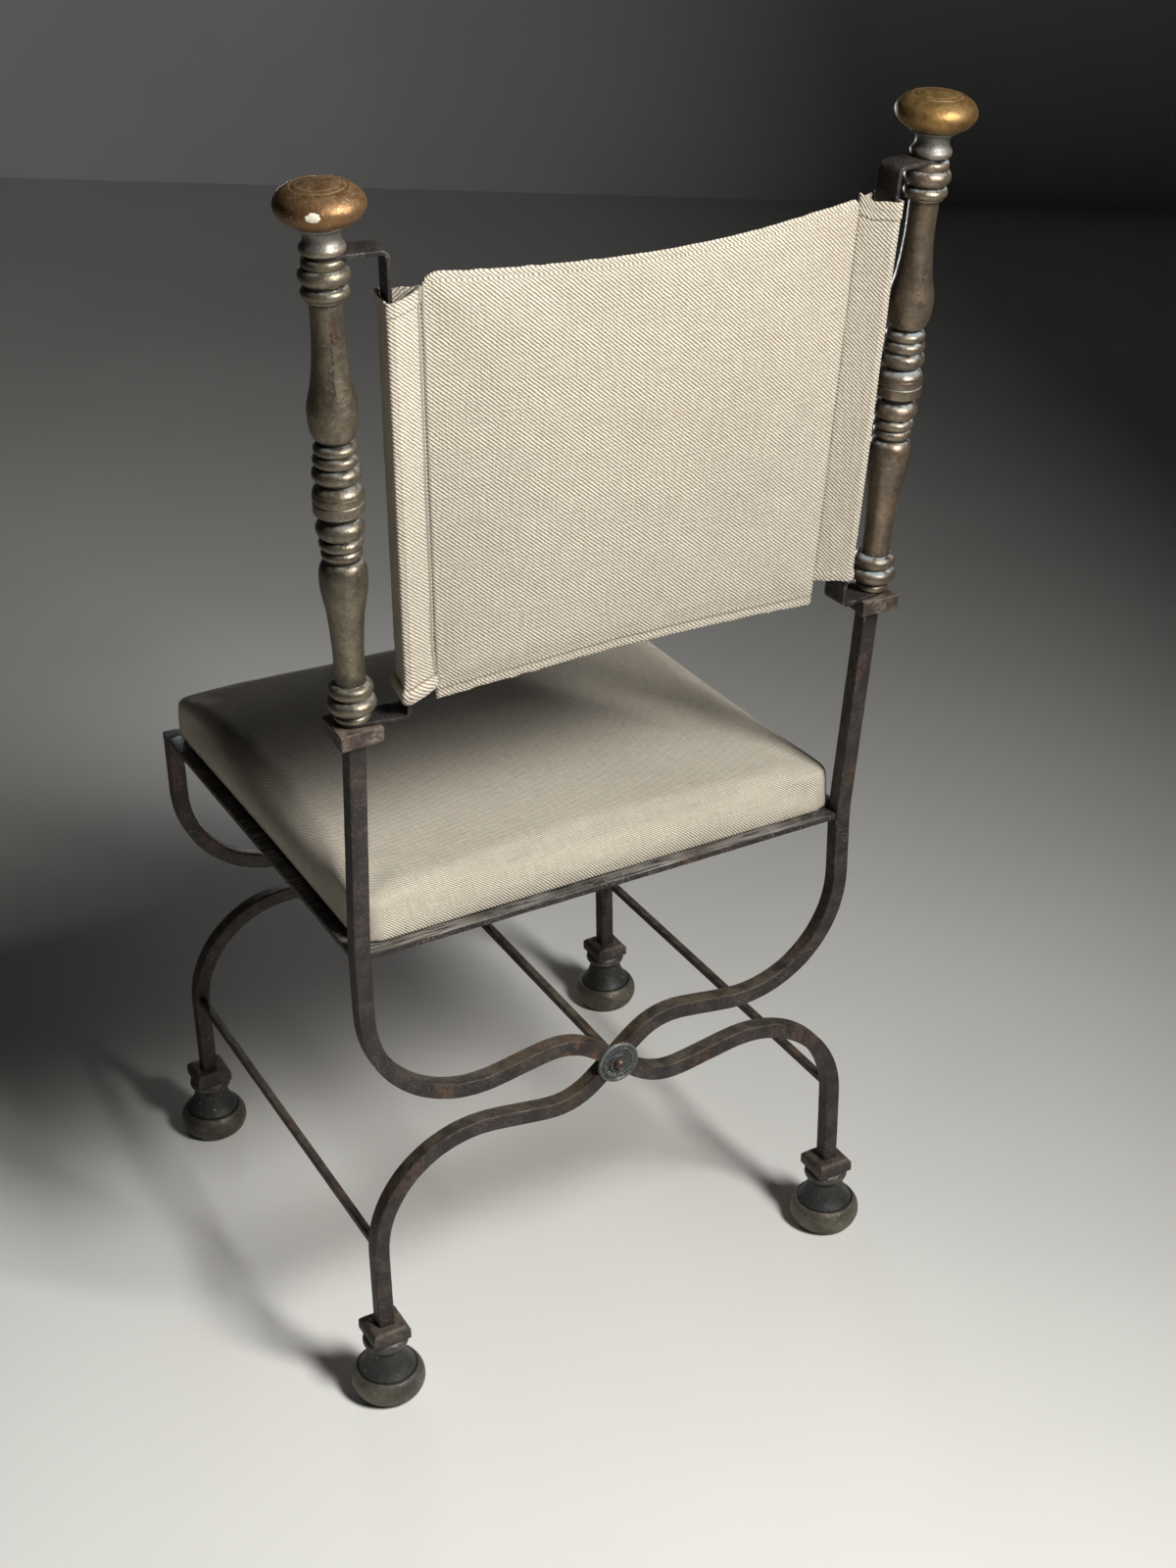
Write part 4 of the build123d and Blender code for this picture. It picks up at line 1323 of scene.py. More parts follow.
# ---- rosettes ----
@dataclass
class Rosettes:
    """Cast rosette and domed rod head on the outer face of each crossing."""

    bronze: Material
    boss: Material
    radius: float = 17.8
    stud_ring: float = 12.6
    studs: int = 28
    boss_seat: float = 2.2

    def outline(self) -> Outline:
        """Rim, field for the beads, smooth ring and dished middle."""
        disc = Outline(self.radius).line((self.radius, 1.2)).arc((16.3, 1.7), (14.8, 0.6))
        return disc.line((10.4, 0.0), (10.0, -0.5), (7.9, 0.0), (7.6, 0.5)).arc((6.9, 1.6), (6.2, 0.4)).line((1.0, 0.0))

    def build(self) -> None:
        """Makes both rosettes."""
        for word, y, facing in (("rear", REAR_Y, 1), ("front", FRONT_Y, -1)):
            turn = Matrix(((1, 0, 0), (0, 0, -facing), (0, facing, 0))).transposed().to_4x4()
            spot = Vector((0.0, y + facing * BAR / 2, CROSSING)) * MM
            place = Matrix.Translation(spot) @ turn @ MILLIMETRES
            disc = turned(f"rosette_disc_{word}", self.outline(), place, 96)
            dress(disc, Body.FRAME, self.bronze, [f"rosette_{word}"])
            studs = grown(
                f"rosette_beads_{word}",
                STUDDED_RING,
                [(0.0, 0.0, 0.0), (0.001, 0.0, 0.0)],
                {
                    "Count": self.studs, "Ring Radius": self.stud_ring * MM, "Bead Radius": 0.0013,
                    "Bead Height": 0.0011, "Finish": self.bronze,
                },
                Matrix.Translation(spot + Vector((0.0, facing * 1.8 * MM, 0.0))) @ turn,
            )
            keep_values(studs, "relief", [0.35] * len(studs.data.vertices))
            dress(soften(studs, 80.0), Body.FRAME, self.bronze)
            head = Outline(4.4).line((4.4, 1.6)).arc((2.9, 2.75), (0.01, 3.8))
            raised = Matrix.Translation(spot + Vector((0.0, facing * self.boss_seat * MM, 0.0))) @ turn @ MILLIMETRES
            knob = turned(f"rod_head_{word}", head, raised, 48)
            dress(knob, Body.FRAME, self.boss, [f"pivot_boss_{word}"])


# ---- posts ----
@dataclass
class PostStack:
    """Everything above one rear upright: plate, two castings, knob and the spring bracket for the sling."""

    post: Post
    iron: Material
    strip_iron: Material
    bronze: Material
    knob: Material
    plate_size: float = 31.5
    seam: float = 165.55
    tab: float = 3.0
    upper_tab: float = 324.7
    knob_seat: float = 327.9
    bracket_tail: float = 11.0
    bracket_bend: float = 4.5

    def lower_outline(self) -> Outline:
        """Base ring, two beads, column, shoulder, three beads and half the drum."""
        casting = Outline(11.0).bead(5.5, 12.6, 11.0).line((11.0, 1.5)).bead(11.4, 16.8, 11.2).bead(10.6, 15.2, 10.4)
        casting.line((10.4, 17.0)).flow([(12.3, 33.0), (15.9, 59.0)], (0, 1), (0, 1))
        casting.flow([(11.4, 15.4)], (0, 1), (-1, 0.5)).line((11.4, 1.5))
        casting.bead(7.1, 13.6, 11.4).bead(7.75, 14.5, 11.4).bead(13.0, 15.9, 11.4)
        return casting.line((11.4, 2.4), (16.6, 2.8), (16.6, 7.1), (16.1, 0.5))

    def upper_outline(self) -> Outline:
        """Drum, three beads, long vase, thin ring and torus."""
        casting = Outline(16.1).line((16.6, 0.5), (16.6, 4.9), (15.9, 0.5), (16.3, 0.4))
        casting.flow([(11.4, 5.8)], (0, 1), (-1, 0.5)).line((11.4, 1.35))
        casting.bead(11.0, 16.0, 11.4).bead(8.2, 14.9, 11.4).bead(7.0, 14.0, 9.8)
        casting.line((9.8, 1.8)).flow([(16.2, 18.5), (12.4, 41.0), (10.3, 66.0), (10.3, 91.5)], (1, 0.3), (0, 1))
        casting.line((13.0, 0.0), (13.0, 1.6)).bead(7.0, 15.1, 12.4).line((12.4, 1.6)).bead(10.4, 16.1, 12.9)
        return casting.line((12.9, 0.3)).bead(5.0, 13.6, 12.9).line((12.9, 0.3))

    def knob_outline(self) -> Outline:
        """Rim, waist, flange and the flattened knob with turned circles on its crown."""
        knob = Outline(13.2).arc((14.2, 2.6), (13.2, 5.2)).arc((11.5, 6.3), (17.0, 11.4)).line((17.0, 1.4), (16.2, 0.0))
        knob.flow([(27.7, 11.2)], (1, 0.12), (0, 1)).flow([(17.0, 10.6)], (0, 1), (-1, 0.22))
        knob.line((16.5, -0.7), (16.0, 0.75), (13.4, 0.75), (13.0, -0.35), (12.6, 0.42))
        return knob.arc((6.5, 1.05), (0.01, 1.4))

    def bracket(self) -> None:
        """Bends the flat bar of the sling bracket and rounds its two tabs."""
        low, high = STRIP_THICKNESS / 2, self.upper_tab + STRIP_THICKNESS / 2
        bend, reach = self.bracket_bend, STRIP_REACH
        run = np.linspace(0, self.bracket_tail + reach - bend, 24)
        path = [(-self.bracket_tail + i, low) for i in run]
        lower_bend, upper_bend = np.linspace(-math.pi / 2, 0, 9)[1:], np.linspace(0, math.pi / 2, 9)[1:]
        path += [(reach - bend + bend * math.cos(t), low + bend + bend * math.sin(t)) for t in lower_bend]
        path += [(reach, z) for z in np.linspace(low + bend, high - bend, 80)[1:]]
        path += [(reach - bend + bend * math.cos(t), high - bend + bend * math.sin(t)) for t in upper_bend]
        path += [(reach - bend - i, high) for i in run[1:]]
        side = self.post.side
        strip = grown(
            f"sling_strip_{side.word}",
            FORGED_BAR,
            [Vector((x, 0.0, z)) * MM for x, z in path],
            {
                "Width": STRIP_WIDTH * MM, "Thickness": STRIP_THICKNESS * MM,
                "Edge Radius": 0.0006, "Step": 0.0016, "Unevenness": 0.0002,
                "Seed": 30.0 + side.value, "Finish": self.strip_iron,
            },
        )
        half, blunt = STRIP_WIDTH / 2, 0.02
        for vertex in strip.data.vertices:
            over = max(0.0, (half - self.bracket_tail) - vertex.co.x / MM)
            if over > 0:
                vertex.co.y *= math.sqrt(max(blunt, 1 - (over / half) ** 2))
        heading = 180.0 - STRIP_SWING if side is Side.LEFT else STRIP_SWING
        strip.data.transform(self.post.place(0.0, heading) @ Matrix.Scale(1 / MM, 4))
        dress(soften(strip), Body.FRAME, self.strip_iron, [f"sling_bracket_{side.word}"])

    def build(self) -> None:
        """Makes the pieces of this post."""
        word = self.post.side.word
        size = (self.plate_size, self.plate_size, self.post.plate)
        plate = block(f"plate_{word}", size, 0.9, self.post.place(-self.post.plate / 2), 2.6, None, 0.22)
        dress(plate, Body.FRAME, self.iron, [f"post_plate_{word}"])
        lower = turned(f"column_casting_{word}", self.lower_outline(), self.post.place(self.tab))
        dress(lower, Body.FRAME, self.bronze, [f"lower_casting_{word}"])
        upper = turned(f"vase_casting_{word}", self.upper_outline(), self.post.place(self.seam))
        dress(upper, Body.FRAME, self.bronze, [f"upper_casting_{word}"])
        place = self.post.place(self.knob_seat)
        knob = turned(f"knob_{word}", self.knob_outline(), place, 96, change=18.4, circles=(16.3, 12.8))
        dress(knob, Body[f"FINIAL_{word.upper()}"], self.knob, [f"finial_{word}"])
        self.bracket()


# ---- soft pieces ----
def outward(obj: Object) -> None:
    """Turns the faces of a closed mesh outwards."""
    work = bmesh.new()
    work.from_mesh(obj.data)
    bmesh.ops.recalc_face_normals(work, faces=work.faces)
    work.to_mesh(obj.data)
    work.free()


COVER_RULES = {
    "quality": 5, "mass": 0.25, "tension_stiffness": 25.0, "compression_stiffness": 25.0,
    "shear_stiffness": 12.0, "bending_stiffness": 4.0, "use_pressure": True,
}


def swell(obj: Object, held: Sequence[int], pressure: float, reach: float, frames: int) -> None:
    """Lets the cloth of a padded piece swell under its stuffing.

    Args:
        obj: closed mesh of the cover.
        held: points that stay where they are.
        pressure: pressure of the stuffing.
        reach: furthest that a point may move, in metres.
        frames: simulation steps.
    """
    before = np.array([v.co for v in obj.data.vertices])
    pins = obj.vertex_groups.new(name="held")
    pins.add(list(held), 1.0, "REPLACE")
    cloth = obj.modifiers.new("swell", "CLOTH")
    for key, value in COVER_RULES.items():
        setattr(cloth.settings, key, value)
    cloth.settings.uniform_pressure_force = pressure
    cloth.settings.effector_weights.gravity = 0.0
    cloth.settings.vertex_group_mass = pins.name
    cloth.point_cache.frame_start = 1
    cloth.point_cache.frame_end = frames
    for number in range(1, frames + 1):
        bpy.context.scene.frame_set(number)
    evaluated(obj)
    obj.vertex_groups.clear()
    bpy.context.scene.frame_set(1)
    after = np.array([v.co for v in obj.data.vertices])
    moved = after - before
    length = np.maximum(np.linalg.norm(moved, axis=1, keepdims=True), 1e-9)
    after = before + moved * np.minimum(1.0, reach / length)
    obj.data.vertices.foreach_set("co", after.astype(np.float32).ravel())
    obj.data.update()


def calmed(obj: Object, held: Sequence[int], rounds: int) -> None:
    """Evens out small waves of a cover.

    Args:
        obj: closed mesh of the cover.
        held: points that stay where they are.
        rounds: how often each point moves halfway to the middle of its neighbours.
    """
    spots = np.array([v.co for v in obj.data.vertices])
    pairs = np.array([tuple(e.vertices) for e in obj.data.edges])
    free = np.ones((len(spots), 1))
    free[list(held)] = 0.0
    for _ in range(rounds):
        total, count = np.zeros_like(spots), np.zeros((len(spots), 1))
        for a, b in ((pairs[:, 0], pairs[:, 1]), (pairs[:, 1], pairs[:, 0])):
            np.add.at(total, a, spots[b])
            np.add.at(count, a, 1.0)
        spots += (total / np.maximum(count, 1.0) - spots) * 0.5 * free
    obj.data.vertices.foreach_set("co", spots.astype(np.float32).ravel())
    obj.data.update()


def rounded(obj: Object) -> None:
    """Adds one level of subdivision."""
    finer = obj.modifiers.new("finer", "SUBSURF")
    finer.levels = finer.render_levels = 1
    evaluated(obj)


@dataclass
class SlipSeat:
    """Loose padded seat on its board."""

    linen: Material
    ply: Material
    base: float = 416.8
    width: float = 412.0
    depth: float = 391.0
    height: float = 37.0
    corners: tuple[float, float] = (18.0, 12.0)
    edge: float = 6.5
    edge_rings: int = 7
    corner_steps: int = 8
    voxel: float = 0.0045
    held_height: float = 0.006
    pressure: float = 1.6
    give: float = 0.004
    frames: int = 20
    calming: int = 3
    drawn_in: float = 0.0012
    fold_reach: float = 0.012

    def ring(self, inset: float, z: float) -> list[Vector]:
        """Rounded rectangle of the plan; its rear corners clear the posts.

        Args:
            inset: how far it lies inside the full plan.
            z: height above the rails.

        Returns:
            Its points.
        """
        points = []
        for quarter, (sx, sy) in enumerate(((1, 1), (-1, 1), (-1, -1), (1, -1))):
            radius = max(4.0, self.corners[0 if sy > 0 else 1] - inset * 0.6)
            middle = (sx * (self.width / 2 - inset - radius), sy * (self.depth / 2 - inset - radius))
            for i in range(self.corner_steps + 1):
                turn = math.pi / 2 * (quarter + i / self.corner_steps)
                points.append(Vector((middle[0] + radius * math.cos(turn), middle[1] + radius * math.sin(turn), z)))
        return points

    def build(self) -> None:
        """Makes the pad and finishes the board."""
        rings = [self.ring(1.6, 0.0), self.ring(0.4, 1.0), self.ring(0.0, 3.0), self.ring(0.0, self.height - self.edge)]
        for i in range(1, self.edge_rings + 1):
            turn = math.pi / 2 * i / self.edge_rings
            inset = self.edge * (1 - math.cos(turn))
            rings.append(self.ring(inset, self.height - self.edge * (1 - math.sin(turn))))
        count = len(rings[0])
        points = [p for ring in rings for p in ring]
        faces = [tuple(reversed(range(count))), *belt_faces(len(rings), count)]
        faces.append(tuple(range((len(rings) - 1) * count, len(rings) * count)))
        place = Matrix.Translation(Vector((0.0, MIDDLE_Y, self.base)) * MM) @ MILLIMETRES
        pad = mesh_object("slip_seat_pad", points, faces, place)
        remesh = pad.modifiers.new("even", "REMESH")
        remesh.mode = "VOXEL"
        remesh.voxel_size = self.voxel
        evaluated(pad)
        floor = self.base * MM
        held = [v.index for v in pad.data.vertices if v.co.z < floor + self.held_height]
        swell(pad, held, self.pressure, self.give, self.frames)
        calmed(pad, held, self.calming)
        half = Vector((self.width / 2, self.depth / 2)) * MM
        for vertex in pad.data.vertices:
            u, v = vertex.co.x / half.x, (vertex.co.y - MIDDLE_Y * MM) / half.y
            vertex.co.x -= self.drawn_in * u**5 * max(0.0, 1 - v * v)
            vertex.co.y -= self.drawn_in * v**5 * max(0.0, 1 - u * u)
            vertex.co.z = max(vertex.co.z, floor)
        rounded(pad)
        keep_cloth(pad, self.flat_places(pad))
        keep_values(pad, "crease", [0.0] * len(pad.data.vertices))
        dress(soften(pad, 80.0), Body.SEAT, self.linen, ["seat_pad"])
        paint(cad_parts["seat_board"], self.ply)

    def flat_places(self, pad: Object) -> np.ndarray:
        """Lays the cover out flat: the top as it is, the sides folded out.

        Args:
            pad: the finished pad.

        Returns:
            Place of each of its points on the flat cloth, in metres.
        """
        spots = np.array([v.co for v in pad.data.vertices])
        half = np.array([self.width / 2, self.depth / 2]) * MM - max(self.corners) * MM
        plan = spots[:, :2] - np.array([0.0, MIDDLE_Y * MM])
        out = plan - np.clip(plan, -half, half)
        length = np.maximum(np.linalg.norm(out, axis=1, keepdims=True), 1e-9)
        top = (self.base + self.height + 2.0) * MM
        drop = np.maximum(0.0, top - spots[:, 2:3]) * np.minimum(1.0, length / self.fold_reach)
        flat = plan + out / length * drop
        return np.concatenate([flat, np.zeros((len(flat), 1))], axis=1)


@dataclass(frozen=True)
class SleeveCut:
    """How one side of the sling is sewn and how it has settled, in millimetres and shares."""

    hem_foot: float
    hem_top: float
    raised: float
    bunched: float
    folded: float
    rolled: float
    peak: float
    # foot_shade and seam_shade: strength of the painted shade at the lower hem rows and along the panel's seam.
    foot_shade: float
    second_row: bool
    panel_corner: float
    seam_shade: float


CUTS = {
    Side.LEFT: SleeveCut(
        hem_foot=10.0, hem_top=9.0, raised=0.0, bunched=1.0, folded=1.0, rolled=2.4, peak=2.0,
        foot_shade=1.0, second_row=False, panel_corner=12.0, seam_shade=0.85,
    ),
    Side.RIGHT: SleeveCut(
        hem_foot=7.0, hem_top=12.0, raised=9.5, bunched=0.25, folded=0.4, rolled=0.4, peak=5.5,
        foot_shade=0.45, second_row=True, panel_corner=5.0, seam_shade=0.3,
    ),
}


@dataclass
class Sling:
    """Linen back: a padded panel between two sleeves that slide over the brackets' strips."""

    linen: Material
    thread: Material
    seam_reach: float = 20.0
    slack: float = 0.8
    cloth: float = 1.4
    sleeve_foot: float = 15.0
    sleeve_length: float = 280.5
    sleeve_rows: int = 72
    second_row: float = 6.2
    shade: float = 0.45
    shaded_foot: float = 100.0
    panel_thickness: float = 7.0
    panel_bow: float = 8.0
    corner_foot: float = 4.0
    corner_top: float = 306.0
    sag_top: float = 9.0
    sag_foot: float = 10.0
    flange: float = 6.0
    rows: int = 66
    columns: int = 96
    foot_rows: tuple[float, ...] = (0.012, 0.018, 0.0205, 0.0235, 0.027)
    top_rows: tuple[float, ...] = (0.985, 0.994)
    held_share: float = 0.03
    rim_bulge: float = 0.45
    pressure: float = 1.2
    give: float = 0.003
    frames: int = 12

    @property
    def strip_in(self) -> float:
        """Strip's middle, inwards of the post's axis."""
        return STRIP_REACH * math.cos(math.radians(STRIP_SWING))

    @property
    def strip_back(self) -> float:
        """Strip's middle, behind the post's axis."""
        return STRIP_REACH * math.sin(math.radians(STRIP_SWING))

    def sleeve_loop(self, side: Side) -> list[Vector]:
        """Middle line of the sleeve's cloth across the post, in millimetres, starting at the seam."""
        s, turn = side.value, math.radians(STRIP_SWING)
        inward = Vector((-s * math.cos(turn), math.sin(turn)))
        across = Vector((s * math.sin(turn), math.cos(turn)))
        middle = Vector((-s * self.strip_in, self.strip_back))
        thick, wide = inward * STRIP_THICKNESS / 2, across * STRIP_WIDTH / 2
        tip = Vector((-s * (self.strip_in + self.seam_reach), self.strip_back))
        corners = [tip, middle + thick - wide, middle - thick - wide, middle - thick + wide, middle + thick + wide]
        area = sum(a.x * b.y - b.x * a.y for a, b in zip(corners, corners[1:] + corners[:1]))
        if area < 0:
            corners = [corners[0], *reversed(corners[1:])]
        gap = self.slack + self.cloth / 2
        loop: list[Vector] = []
        count = len(corners)
        for i in range(count):
            before, here, after = corners[i - 1], corners[i], corners[(i + 1) % count]
            a, b = (here - before).normalized(), (after - here).normalized()
            first, last = math.atan2(-a.x, a.y), math.atan2(-b.x, b.y)
            swept = (last - first) % (2 * math.pi)
            for k in range(7):
                t = first + swept * k / 6
                loop.append(here + Vector((math.cos(t), math.sin(t))) * gap)
            length = (after - here).length
            side_normal = Vector((math.cos(last), math.sin(last))) * gap
            steps = max(2, round(length / 3.0))
            loop += [here.lerp(after, k / steps) + side_normal for k in range(1, steps)]
        return loop

    def sleeve_stops(self, side: Side) -> list[float]:
        """Heights of the sleeve's rows, closer together at the hems."""
        low, top = CUTS[side].hem_foot, self.sleeve_length - CUTS[side].hem_top
        stops = set(np.round(np.linspace(0.0, self.sleeve_length, self.sleeve_rows), 3).tolist())
        for mark in (low, top, top + self.second_row):
            stops |= {mark - 1.2, mark - 0.4, mark, mark + 0.4, mark + 1.2}
        return sorted(s for s in stops if 0 <= s <= self.sleeve_length)

    def sleeve_shade(self, side: Side, z: float) -> float:
        """Strength of the painted shade along the hem rows of stitches at a height on the sleeve."""
        cut, top = CUTS[side], self.sleeve_length - CUTS[side].hem_top
        dark = max(0.0, *(1 - abs(z - row) / 0.8 for row in (cut.hem_foot, top)))
        if cut.second_row:
            dark = max(dark, 1 - abs(z - top - self.second_row) / 0.8)
        return dark * (cut.foot_shade if z < self.shaded_foot else self.shade)

    def sleeve_row(self, side: Side, loop: Sequence[Vector], z: float) -> list[Vector]:
        """One row of the sleeve, with its hems, folds and ragged ends.

        Args:
            side: side of the chair.
            loop: middle line of the cloth across the post.
            z: height on the sleeve.

        Returns:
            Points of the row in the post's place.
        """
        cut, top = CUTS[side], self.sleeve_length - CUTS[side].hem_top
        centre = sum(loop, Vector((0.0, 0.0))) / len(loop)
        hem = max(1 - eased(z, cut.hem_foot - 0.4, cut.hem_foot + 0.4), eased(z, top - 0.4, top + 0.4))
        bunched = (1 - eased(z, 0.0, 18.0)) * cut.bunched
        ends = 1 - eased(min(z, self.sleeve_length - z), 0.0, 40.0)
        folds = eased(z, 6.0, 16.0) * (1 - eased(z, 20.0, 70.0)) * cut.folded
        rolled = cut.rolled * math.sin(min(1.0, z / cut.hem_foot) * math.pi)
        row = []
        for spot in loop:
            out = (spot - centre).normalized()
            wave = noise.noise(Vector((spot.x * 0.09, spot.y * 0.09, z * 0.03)) + Vector((side.value * 7.0, 0, 0)))
            fold = noise.noise(Vector(((spot.x - z) * 0.07, (spot.y + z) * 0.07, z * 0.11)))
            shift = 0.7 * hem + 1.6 * bunched + rolled + wave * (0.35 + 0.9 * ends) + 1.3 * fold * folds
            ragged = 0.9 * noise.noise(Vector((spot.x * 0.15, spot.y * 0.15, 5.0 * side.value))) * ends
            ragged += 0.5 * noise.noise(Vector((spot.x * 0.6, spot.y * 0.6, z * 0.02))) * ends
            peak = cut.peak * max(0.0, 1 - (spot - loop[3]).length / 10.0)
            height = z + ragged + peak * eased(z, self.sleeve_length - 30.0, self.sleeve_length)
            row.append(Vector((*(spot + out * shift), height)))
        return row

    def sleeve(self, side: Side) -> None:
        """Makes one sleeve with its hems."""
        loop, stops = self.sleeve_loop(side), self.sleeve_stops(side)
        run = [0.0]
        for a, b in zip(loop, loop[1:] + loop[:1]):
            run.append(run[-1] + (b - a).length)
        points = [spot for z in stops for spot in self.sleeve_row(side, loop, z)]
        flat = [(along * MM, z * MM, 0.0) for z in stops for along in run[:-1]]
        # Painted shade along the hem rows.
        crease = [self.sleeve_shade(side, z) for z in stops for _ in loop]
        faces, place = belt_faces(len(stops), len(loop)), Post(side).place(self.sleeve_foot + CUTS[side].raised)
        sleeve = mesh_object(f"linen_sleeve_{side.word}", points, faces, place)
        keep_cloth(sleeve, np.array(flat))
        keep_values(sleeve, "crease", crease)
        wall = sleeve.modifiers.new("cloth", "SOLIDIFY")
        wall.thickness = self.cloth * MM
        wall.offset = 0.0
        evaluated(sleeve)
        dress(soften(sleeve, 60.0), Body.FRAME, self.linen, [f"sleeve_{side.word}"])
        f"sling_bracket_{side.word}"

    def back_place(self) -> Matrix:
        """Place of the panel: x to the sitter's left, y back and z up the lean of the back."""
        post = Post(Side.LEFT)
        origin, up = post.place().translation, lean(0, post.stack_rake, 0.0)
        turn = Matrix(((1.0, 0.0, 0.0), up.cross(Vector((1.0, 0.0, 0.0))), up)).transposed().to_4x4()
        return Matrix.Translation((0.0, origin.y, origin.z)) @ turn @ MILLIMETRES

    def seam(self, height: float) -> Vector:
        """Point of the left seam in the panel's place, at a height above the plate."""
        edge = self.strip_in + self.seam_reach + self.slack + self.cloth + 0.2
        world = Post(Side.LEFT).place(height) @ Vector((-edge, self.strip_back, 0.0))
        return self.back_place().inverted() @ world

    def spot(self, u: float, v: float, face: int) -> tuple[Vector, float, float]:
        """Point of the panel's cover.

        Args:
            u: from -1 at the right seam to 1 at the left seam.
            v: from 0 at the bottom to 1 at the top.
            face: -1 for the front, 1 for the back, 0 for the rim.

        Returns:
            The point in the panel's place, its height on the cloth and how much painted shade lies there, in the fold
            above the foot and along the seams.
        """
        foot, top = self.seam(self.corner_foot), self.seam(self.corner_top)
        x = u * (foot.x + (top.x - foot.x) * v)
        bow = 1 - u * u
        z = foot.z + (top.z - foot.z) * v + bow * (self.sag_foot * (1 - v) - self.sag_top * v)
        cut = CUTS[Side.LEFT if u > 0 else Side.RIGHT]
        radius = cut.panel_corner
        over = max(0.0, abs(x) - (top.x - radius))
        drop = radius - math.sqrt(max(0.0, radius**2 - over**2))
        z -= drop * eased(v, 0.55, 1.0)
        ragged = noise.noise(Vector((x * 0.12, 9.0, 0.0))) * 0.8 + noise.noise(Vector((x * 0.4, 3.0, 0.0))) * 0.35
        z += ragged * (eased(v, 0.96, 1.0) + 1.2 * (1 - eased(v, 0.0, 0.05)))
        span = (top.z - foot.z) - bow * (self.sag_top + self.sag_foot)
        to_side, to_foot, to_top = (1 - abs(u)) * top.x, v * span, (1 - v) * span
        thick = self.panel_thickness * min(
            0.4 + 0.6 * eased(to_side, 0.0, 16.0),
            0.42 + 0.58 * eased(to_top, 0.0, 13.0),
            0.3 if to_foot < self.flange else 0.26 + 0.74 * eased(to_foot, self.flange + 0.8, 22.0),
        )
        wave = 1.5 * noise.noise(Vector((x * 0.012, z * 0.012, 2.0)))
        wave += 0.5 * noise.noise(Vector((x * 0.03, z * 0.05, 6.0)))
        y = self.strip_back + self.panel_bow * bow + wave * eased(to_side, 0.0, 40.0)
        # Painted shade in the fold above the turned-up foot and along the side seams.
        crease = max(0.0, 1 - abs(to_foot - self.flange - 0.6) / 1.6, cut.seam_shade * (1 - to_side / 2.0))
        return Vector((x, y + face * thick / 2, z)), z, crease

    def panel(self) -> None:
        """Makes the padded panel."""
        across = [math.sin(math.pi / 2 * t) * 0.35 + t * 0.65 for t in np.linspace(-1, 1, self.columns + 1)]
        marks = sorted({*np.linspace(0, 1, self.rows + 1).tolist(), *self.foot_rows, *self.top_rows})
        wide, tall = len(across), len(marks)
        points, flat, crease = [], [], []
        for face in (-1, 1):
            for v in marks:
                for u in across:
                    spot, height, dark = self.spot(u, v, face)
                    points.append(spot)
                    flat.append((-spot.x * MM, height * MM, 0.0))
                    crease.append(dark)
        faces: list[tuple[int, ...]] = []
        half = wide * tall
        for k in range(tall - 1):
            for i in range(wide - 1):
                a = k * wide + i
                faces.append((a, a + 1, a + wide + 1, a + wide))
                faces.append((half + a, half + a + wide, half + a + wide + 1, half + a + 1))
        border = [*range(wide), *range(2 * wide - 1, half, wide)]
        border += [*range(half - 2, half - wide - 1, -1), *range(half - 2 * wide, 0, -wide)]
        rim = len(points)
        for a in border:
            front, back = points[a], points[a + half]
            bulge = self.rim_bulge * (front - back).length
            aside, upwards = (a % wide == wide - 1) - (a % wide == 0), (a >= half - wide) - (a < wide)
            points.append((front + back) / 2 + Vector((bulge * aside, 0.0, bulge * upwards)))
            flat.append(flat[a])
            crease.append(crease[a])
        for n, a in enumerate(border):
            m = (n + 1) % len(border)
            b = border[m]
            faces.append((a, rim + n, rim + m, b))
            faces.append((rim + n, half + a, half + b, rim + m))
        panel = mesh_object("sling_panel", points, faces, self.back_place())
        outward(panel)
        keep_cloth(panel, np.array(flat))
        keep_values(panel, "crease", crease)
        low_rows = sum(v < self.held_share for v in marks)
        held = {*border, *(a + half for a in border), *range(rim, len(points))}
        for k in range(low_rows):
            held |= {k * wide + i for i in range(wide)} | {half + k * wide + i for i in range(wide)}
        swell(panel, sorted(held), self.pressure, self.give, self.frames)
        rounded(panel)
        dress(soften(panel, 80.0), Body.FRAME, self.linen, ["back_panel"])

    def stitching(self) -> None:
        """Sews the turned bottom of the panel, on its front and on its rear."""
        place = self.back_place()
        foot, top = self.seam(self.corner_foot), self.seam(self.corner_top)
        v = (self.flange + 0.4) / (top.z - foot.z)
        values = {"Pitch": 0.0034, "Length": 0.00115, "Thread": 0.0003, "Finish": self.thread}
        for word, face in (("front", -1), ("rear", 1)):
            proud = Vector((0, face * 0.25, 0))
            line = [place @ (self.spot(u, v, face)[0] + proud) for u in np.linspace(-0.985, 0.985, 80)]
            row = grown(f"panel_hem_stitches_{word}", STITCHES, line, values)
            dress(soften(row, 80.0), Body.FRAME, self.thread)

    def build(self) -> None:
        """Makes the sleeves, the panel and the panel's stitches."""
        for side in Side:
            self.sleeve(side)
        self.panel()
        self.stitching()


